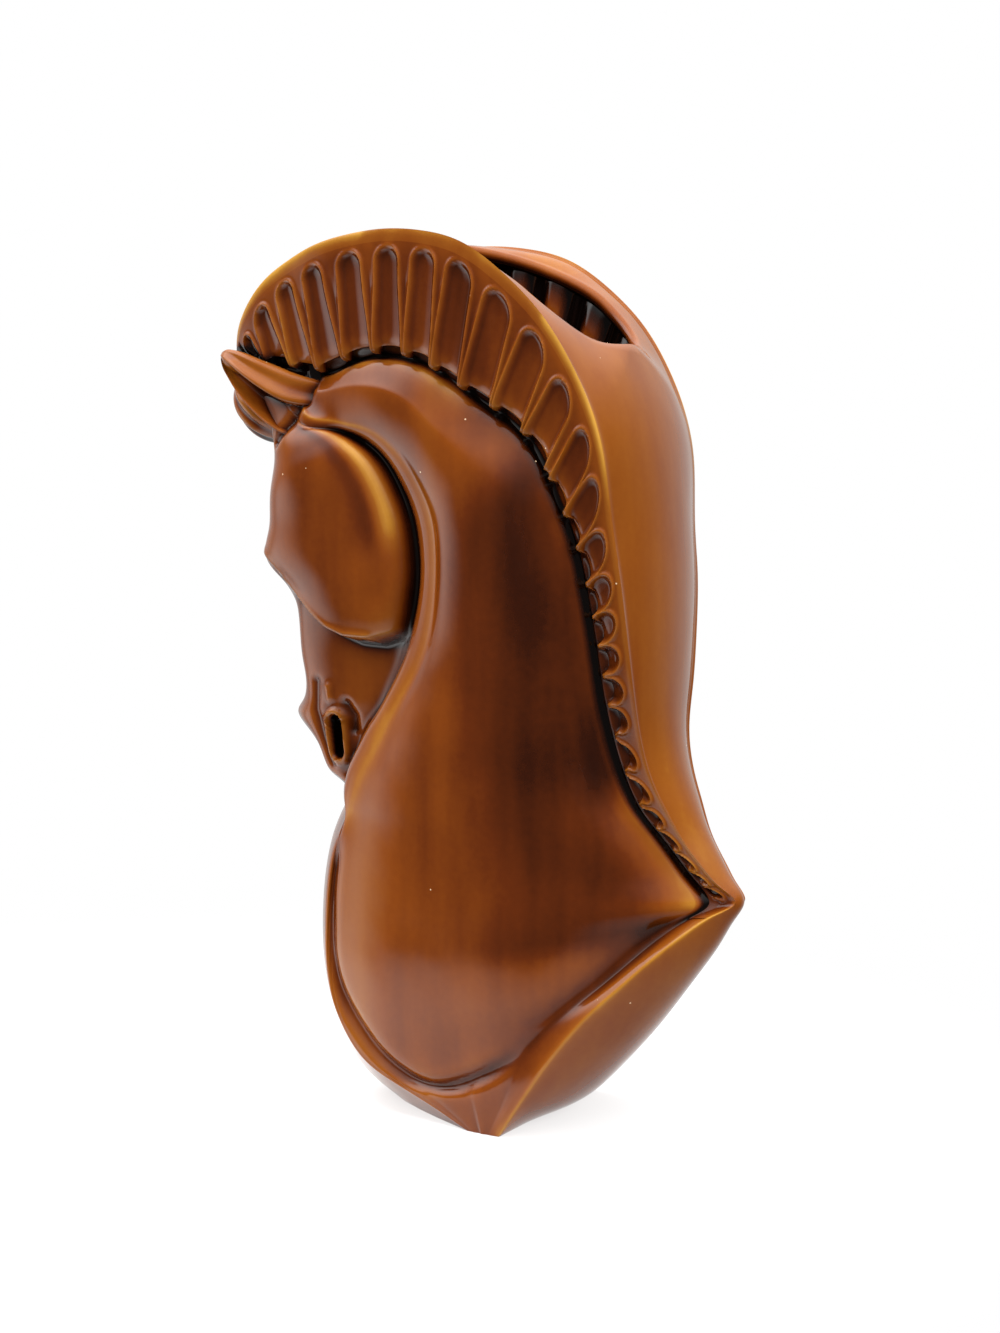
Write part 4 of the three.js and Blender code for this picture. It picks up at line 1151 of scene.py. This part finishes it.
def forelock_rings():
    """Rings of a tuft that leans forward, with strands combed along it."""
    t = np.linspace(*FORELOCK_ENDS, FORELOCK_RINGS)[:, None] * math.pi
    a = np.linspace(0, 2 * math.pi, FORELOCK_AROUND, endpoint=False)
    swell = np.sin(t) * (1 + STRAND_RISE * np.cos(STRANDS * a) * np.sin(t) ** 2)
    long = -FORELOCK_LONG * np.cos(t) * np.ones(len(a))
    wide, deep = FORELOCK_WIDE * swell * np.cos(a), FORELOCK_DEEP * swell * np.sin(a)
    x = FORELOCK_MIDDLE[0] + long * math.cos(FORELOCK_TURN) + deep * math.sin(FORELOCK_TURN)
    z = FORELOCK_MIDDLE[1] - long * math.sin(FORELOCK_TURN) + deep * math.cos(FORELOCK_TURN)
    return np.stack([x, wide, z], -1)


forelock_shape = forelock_rings()
print("forelock", forelock_shape.shape)

# %% [markdown]
# Treacle glaze is a clear brown glass. Where it lies thin, on rims and edges, the eye sees honey; where
# it has run together, in grooves and flutes, it sees near black. So each point gets how far it lies under
# the average of its surroundings, at a fine and at a broad scale, and the material turns that to colour:
# darker in hollows, as glaze pooling together with painted shade. To that come a few lines where the glaze
# has run thin or thick, painted highlights and painted shade along the groove, and the painted shade
# inside the mouth.

# %% How thick the glaze lies, with painted shade in the hollows
CELL, MARGIN = 0.5, 12
CLOSE_ROWS, CLOSE_COLUMNS = 1000, 640
LEAST_COVER = 0.15
# How far each average reaches, and the thinnest and the thickest that the glaze may lie.
SCALES = {"fine": (1.3, 0.8, 3.0), "broad": (3.2, 1.0, 5.0)}
PLATE_WET = {"fine": 0.0, "broad": 0.6}
PLATE_MOST = {"fine": 1.2, "broad": 3.0}
BACK_WET = {"fine": -0.3, "broad": 0.0}
EAR_WET = {"fine": 0.4, "broad": 0.5}
# How far the honey, with its painted highlights and painted shade, moves each depth.
HONEY_AND_SHADE_DEPTH = {"fine": 0.9, "broad": 0.0}
AS_IT_LIES = {"fine": 0.0, "broad": 0.0}


def blurred(field, sigma):
    """A field smoothed by a bell of sigma cells, in both directions."""
    reach = int(3 * sigma) + 1
    kernel = np.exp(-0.5 * (np.arange(-reach, reach + 1) / sigma) ** 2)
    kernel /= kernel.sum()
    for axis in (0, 1):
        padded = np.pad(field, [(reach, reach) if k == axis else (0, 0) for k in (0, 1)])
        length = field.shape[axis]
        field = sum(np.take(padded, np.arange(i, i + length), axis) * k for i, k in enumerate(kernel))
    return field


def relief_map(clouds):
    """The highest half width in each cell of the side view, and where there is any."""
    points = np.concatenate(clouds)
    low = points[:, [0, 2]].min(0) - MARGIN
    shape = tuple(((points[:, [0, 2]].max(0) + MARGIN - low) / CELL).astype(int) + 1)
    height = np.full(shape, -1.0)
    cell = ((points[:, [0, 2]] - low) / CELL + 0.5).astype(int)
    np.maximum.at(height, (cell[:, 0], cell[:, 1]), np.abs(points[:, 1]))
    there = (height >= 0).astype(float)
    height = np.where(height >= 0, height, 0)
    near, weight = blurred(height, 1.0), blurred(there, 1.0)
    filled = np.where(there > 0, height, near / np.maximum(weight, 1e-6))
    return low, filled * (weight > LEAST_COVER), (weight > LEAST_COVER).astype(float)


def look_up(field, low, points):
    """Values of a field between its cells."""
    at = (points[:, [0, 2]] - low) / CELL
    i = np.clip(at.astype(int), 0, np.array(field.shape) - 2)
    f = at - i
    value = 0
    for dx in (0, 1):
        for dz in (0, 1):
            share = np.abs(1 - dx - f[:, 0]) * np.abs(1 - dz - f[:, 1])
            value = value + share * field[i[:, 0] + dx, i[:, 1] + dz]
    return value


def cloud(mesh):
    """The points of a mesh, in millimetres."""
    points = np.empty(len(mesh.vertices) * 3, np.float32)
    mesh.vertices.foreach_get("co", points)
    return points.reshape(-1, 3) / MM


def read_fact(mesh, fact, otherwise):
    """One number at each point of a mesh, or the same number at all of them."""
    values = np.full(len(mesh.vertices), otherwise, np.float32)
    if fact in mesh.attributes:
        mesh.attributes[fact].data.foreach_get("value", values)
    return values


def thickness(meshes):
    """Gives each point of the meshes its fine and broad depth under its surroundings, in millimetres."""
    clouds = [cloud(mesh) for mesh in meshes]
    close_u, close_v = np.linspace(0, LAST, CLOSE_ROWS), np.linspace(0, HANDLES - 1, CLOSE_COLUMNS)
    close_skin = pressed(skin(close_u, close_v), close_v)
    past_mane = (close_u <= MANE_ENDS[0]) | (close_u >= MANE_ENDS[1])
    beside_mane = (close_v < GROOVE_AT + 0.2) | (close_v > POCKET_TOP)
    bare = past_mane[:, None] | beside_mane[None, :]
    low, height, there = relief_map(clouds[1:] + [close_skin[bare][:, [0, 2, 1]]])
    for name, (sigma, thin, thick) in SCALES.items():
        cells = sigma / CELL
        mean = blurred(height * there, cells) / np.maximum(blurred(there, cells), 0.05)
        for mesh, points in zip(meshes, clouds):
            depth = look_up(mean, low, points) - np.abs(points[:, 1])
            seen, honey_and_shade = read_fact(mesh, "seen", 1.0), read_fact(mesh, "honey_and_shade", 0.0)
            is_mane = "mane" in mesh.name
            extra = PLATE_WET if is_mane else EAR_WET if "_ear" in mesh.name else AS_IT_LIES
            # Each piece's own bias, and the honey lines with their painted highlights and painted shade.
            wet_and_shade = extra[name] + (1 - seen) * BACK_WET[name] - honey_and_shade * HONEY_AND_SHADE_DEPTH[name]
            most = PLATE_MOST[name] if is_mane else thick
            values = np.clip(depth, -thin, most) * seen + wet_and_shade
            layer = mesh.attributes.new(name, "FLOAT", "POINT")
            layer.data.foreach_set("value", values.astype(np.float32))


print("relief cells of", CELL, "mm")

# %% [markdown]
# The glaze is a deep amber-brown glass over red clay. To the eye it is honey on every edge, chestnut on
# the open faces, with darker runs down them, and almost black where it has pooled; in the grooves,
# hollows and the mouth that black is also painted shade. A few pinholes show pale. Its surface is smooth
# and sharp in reflection. The foot ring is wiped bare, so there the clay shows, dull and pinkish.

# %% Colours and stops
def linear(hex_colour):
    """A linear colour from an sRGB hex value."""
    parts = [int(hex_colour[i : i + 2], 16) / 255 for i in (1, 3, 5)]
    return tuple(c / 12.92 if c <= 0.04045 else ((c + 0.055) / 1.055) ** 2.4 for c in parts) + (1.0,)


def ramp_colours(socket, stops):
    """Sets the stops of a colour ramp from (place, hex colour)."""
    band = socket.node.color_ramp
    while len(band.elements) < len(stops):
        band.elements.new(0.5)
    for element, (place_at, colour) in zip(band.elements, stops):
        element.position = place_at
        element.color = linear(colour)
    return socket


def material(name):
    """An empty material, and its tree."""
    made = bpy.data.materials.new(name)
    made.use_nodes = True
    made.node_tree.nodes.clear()
    return made, Tree(made.node_tree)


print("honey is", [round(c, 3) for c in linear("#c28e3a")[:3]], "in linear light")

# %% Glaze and clay
NOISE = "ShaderNodeTexNoise"
RUNS_START, RUNS_SCALE = (0.011, 0.0, 0.0), (1.0, 1.0, 0.14)
FINE_SHARE, BROAD_SHARE, OPEN_FACE = 0.2, 0.07, 0.49
RUNS_SHARE, CLOUDS_SHARE, SPECKS_SHARE = 0.36, 0.22, 0.05
GLAZE_STOPS = [
    (0.0, "#c28e3a"), (0.14, "#a66f25"), (0.3, "#8a4d15"), (0.46, "#783a0c"), (0.6, "#582407"),
    (0.76, "#301003"), (0.93, "#080302"),
]
PINHOLE, PINHOLE_COLOUR = 0.021, "#e9cda6"
CLAY_STOPS = [(0.3, "#a9745a"), (0.7, "#c39176")]


def treacle_glaze():
    """Glass over clay: its colour follows how thick it lies and the painted shade in hollows,
    with runs, clouds, specks and pinholes.
    """
    made, t = material("Treacle glaze on earthenware")
    place_on = t.add("ShaderNodeTexCoord", out=3)
    runs_at = t.add("ShaderNodeMapping", {"Vector": place_on, "Location": RUNS_START, "Scale": RUNS_SCALE})
    runs = t.add(NOISE, {"Vector": runs_at, "Scale": 52.0, "Detail": 3.0, "Roughness": 0.5})
    cloudy = t.add(NOISE, {"Vector": place_on, "Scale": 18.0, "Detail": 2.0, "Roughness": 0.5})
    specks = t.add(NOISE, {"Vector": place_on, "Scale": 420.0, "Detail": 2.0})
    fine = t.add("ShaderNodeAttribute", out=2, attribute_name="fine")
    broad = t.add("ShaderNodeAttribute", out=2, attribute_name="broad")
    # Darker where the point lies under its surroundings: glaze pooling together with painted shade in
    # hollows.
    pool_and_shade = t.add(MATH, [broad, BROAD_SHARE, OPEN_FACE], operation="MULTIPLY_ADD")
    pool_and_shade = t.add(MATH, [fine, FINE_SHARE, pool_and_shade], operation="MULTIPLY_ADD")
    for pattern, share in ((runs, RUNS_SHARE), (cloudy, CLOUDS_SHARE), (specks, SPECKS_SHARE)):
        centred = t.add(MATH, [pattern, 0.5], operation="SUBTRACT")
        pool_and_shade = t.add(MATH, [centred, share, pool_and_shade], operation="MULTIPLY_ADD")
    colour = ramp_colours(t.add("ShaderNodeValToRGB", {"Fac": pool_and_shade}), GLAZE_STOPS)
    pits = t.add("ShaderNodeTexVoronoi", {"Vector": place_on, "Scale": 75.0}, feature="F1")
    pits = t.add(MATH, [pits, PINHOLE], operation="LESS_THAN")
    both = {0: pits, 6: colour, 7: linear(PINHOLE_COLOUR)}
    colour = t.add("ShaderNodeMix", both, out=2, data_type="RGBA")
    waves = t.add(NOISE, {"Vector": place_on, "Scale": 55.0, "Detail": 1.0})
    bump = t.add("ShaderNodeBump", {"Height": waves, "Strength": 0.06, "Distance": 0.004})
    glass = {"Base Color": colour, "Roughness": 0.1, "IOR": 1.5, "Normal": bump}
    shader = t.add("ShaderNodeBsdfPrincipled", glass)
    t.add("ShaderNodeOutputMaterial", {"Surface": shader})
    return made


def bare_clay():
    """Dull, grainy fired clay."""
    made, t = material("Bare fired earthenware")
    place_on = t.add("ShaderNodeTexCoord", out=3)
    grain = t.add(NOISE, {"Vector": place_on, "Scale": 900.0, "Detail": 3.0})
    colour = ramp_colours(t.add("ShaderNodeValToRGB", {"Fac": grain}), CLAY_STOPS)
    bump = t.add("ShaderNodeBump", {"Height": grain, "Strength": 0.3, "Distance": 0.0004})
    shader = t.add("ShaderNodeBsdfPrincipled", {"Base Color": colour, "Roughness": 0.85, "Normal": bump})
    t.add("ShaderNodeOutputMaterial", {"Surface": shader})
    return made


glaze, clay = treacle_glaze(), bare_clay()
print("materials:", glaze.name, "and", clay.name)

# %% Pieces on the frame
def dressed(name, mesh, materials):
    """The piece for one node of the frame, from its mesh and materials."""
    for each in materials:
        mesh.materials.append(each)
    return placed(name + "_glazed", mesh)


pieces = {"body": dressed("body", body_mesh, [glaze, clay])}
for name, side in (("left", -1), ("right", 1)):
    ear_mesh = ring_mesh(name + "_ear", ear_shape, side)
    pieces[name + "_mane"] = mane_piece(name + "_mane_glazed", side, glaze)
    pieces[name + "_ear"] = dressed(name + "_ear", ear_mesh, [glaze])
pieces["forelock"] = dressed("forelock", ring_mesh("forelock", forelock_shape, 1), [glaze])
thickness([piece.data for piece in pieces.values()])
for node, piece in pieces.items():
    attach(piece, "root")
    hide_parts(node)
print("pieces:", sorted(piece.name for piece in pieces.values()))

# %% [markdown]
# The floor is a pale sheet that fades out into a white room. The lamps are soft and light the vase from
# overhead, from near the camera and from behind, but the glaze doesn't mirror them. What it mirrors is
# the world: a pale back and top, a window's glow high up before the face, and a table's glow low down.

# %% The floor
WHITE = linear("#ffffff")
FLOOR_AT, FLOOR_RADIUS = (-0.1, -0.04, -0.0002), 0.36
# The distances between which the paper fades, and how solid it is there.
FLOOR_FADE = (0.03, 0.34, 0.6, 0.0)
PAPER = {
    "Base Color": linear("#f4f4f4"), "Roughness": 0.9, "Emission Color": WHITE, "Emission Strength": 0.3,
}


def floor_piece():
    """A round sheet under the vase, whose paper thins out with the distance from its middle."""
    made, t = material("Pale paper floor")
    shader = t.add("ShaderNodeBsdfPrincipled", PAPER)
    place_on = t.add("ShaderNodeTexCoord", out=3)
    away = t.add("ShaderNodeVectorMath", [place_on], out=1, operation="LENGTH")
    solid = t.add(STEP, [away, *FLOOR_FADE], interpolation_type=SOFT)
    clear = t.add("ShaderNodeBsdfTransparent")
    faded = t.add("ShaderNodeMixShader", [solid, clear, shader])
    t.add("ShaderNodeOutputMaterial", {"Surface": faded})
    mesh = bpy.data.meshes.new("floor")
    work = bmesh.new()
    bmesh.ops.create_circle(work, cap_ends=True, segments=96, radius=FLOOR_RADIUS)
    work.to_mesh(mesh)
    work.free()
    mesh.materials.append(made)
    floor = placed("floor", mesh)
    floor.location = FLOOR_AT


floor_piece()
print("floor of", FLOOR_RADIUS, "m radius")

# %% Light and camera
# Heights between which the light grows, and its strength at each.
TOP_GLOW = (0.25, 0.95, 0.08, 1.3)
# The back, the window and the table: a direction, then nearness to it and strength as above.
GLOWS = [
    ((-0.5, 0.85, 0.1), (-0.1, 0.8, 0.0, 0.6)),
    ((-0.66, -0.35, 0.66), (0.86, 1.0, 0.0, 2.0)),
    ((-0.9, -0.3, -0.3), (0.88, 1.0, 0.0, 1.5)),
]
# Name, place, width in metres and power in watts.
SOFTBOXES = [
    ("overhead", (-0.1, -0.15, 1.2), 0.9, 16),
    ("front fill", (-0.1, -1.5, 0.8), 1.2, 17),
    ("back fill", (1.4, -0.2, 0.6), 1.0, 20),
]
SOFTBOX_AIM = (0, 0, 0.15)
SENSOR, LENS = 36.0, 62.1
CAMERA_AT, CAMERA_AIM = (0.4114, -0.6906, 0.2200), (0.0127, 0.0, 0.1553)


def studio_world():
    """A white room to the eye, that lights the glaze from its top and with three glows."""
    world = bpy.data.worlds.new("Studio")
    bpy.context.scene.world = world
    world.use_nodes = True
    world.node_tree.nodes.clear()
    t = Tree(world.node_tree)
    way = t.add("ShaderNodeTexCoord")
    height = t.add("ShaderNodeSeparateXYZ", [way], out=2)
    room = t.add(STEP, [height, *TOP_GLOW], interpolation_type=SOFT)
    for direction, glow in GLOWS:
        towards = t.add("ShaderNodeVectorMath", [way, direction], out=1, operation="DOT_PRODUCT")
        lit = t.add(STEP, [towards, *glow], interpolation_type=SOFT)
        room = t.add(MATH, [room, lit], operation="ADD")
    eye = t.add("ShaderNodeLightPath")
    light = t.add("ShaderNodeMix", {"Factor": eye, "A": room, "B": 1.0})
    background = t.add("ShaderNodeBackground", {"Color": WHITE, "Strength": light})
    t.add("ShaderNodeOutputWorld", {"Surface": background})


def aimed(thing, place_at, target):
    """Puts a lamp or a camera in its place and turns it to a target."""
    thing.location = place_at
    look = Vector(target) - thing.location
    thing.rotation_euler = look.to_track_quat("-Z", "Y").to_euler()


def softbox(name, place_at, size, power):
    """A square lamp that the glaze doesn't mirror."""
    light = bpy.data.lights.new(name, "AREA")
    light.shape = "RECTANGLE"
    light.size = light.size_y = size
    light.energy = power
    lamp = placed(name, light)
    lamp.visible_glossy = False
    aimed(lamp, place_at, SOFTBOX_AIM)


def camera():
    """The camera that was fitted to the photograph."""
    lens = bpy.data.cameras.new("camera")
    lens.sensor_width = SENSOR
    lens.lens = LENS
    eye = placed("camera", lens)
    aimed(eye, CAMERA_AT, CAMERA_AIM)
    bpy.context.scene.camera = eye


studio_world()
for box in SOFTBOXES:
    softbox(*box)
camera()
bpy.context.scene.view_settings.view_transform = "Standard"
print("camera lens", bpy.context.scene.camera.data.lens, "mm")
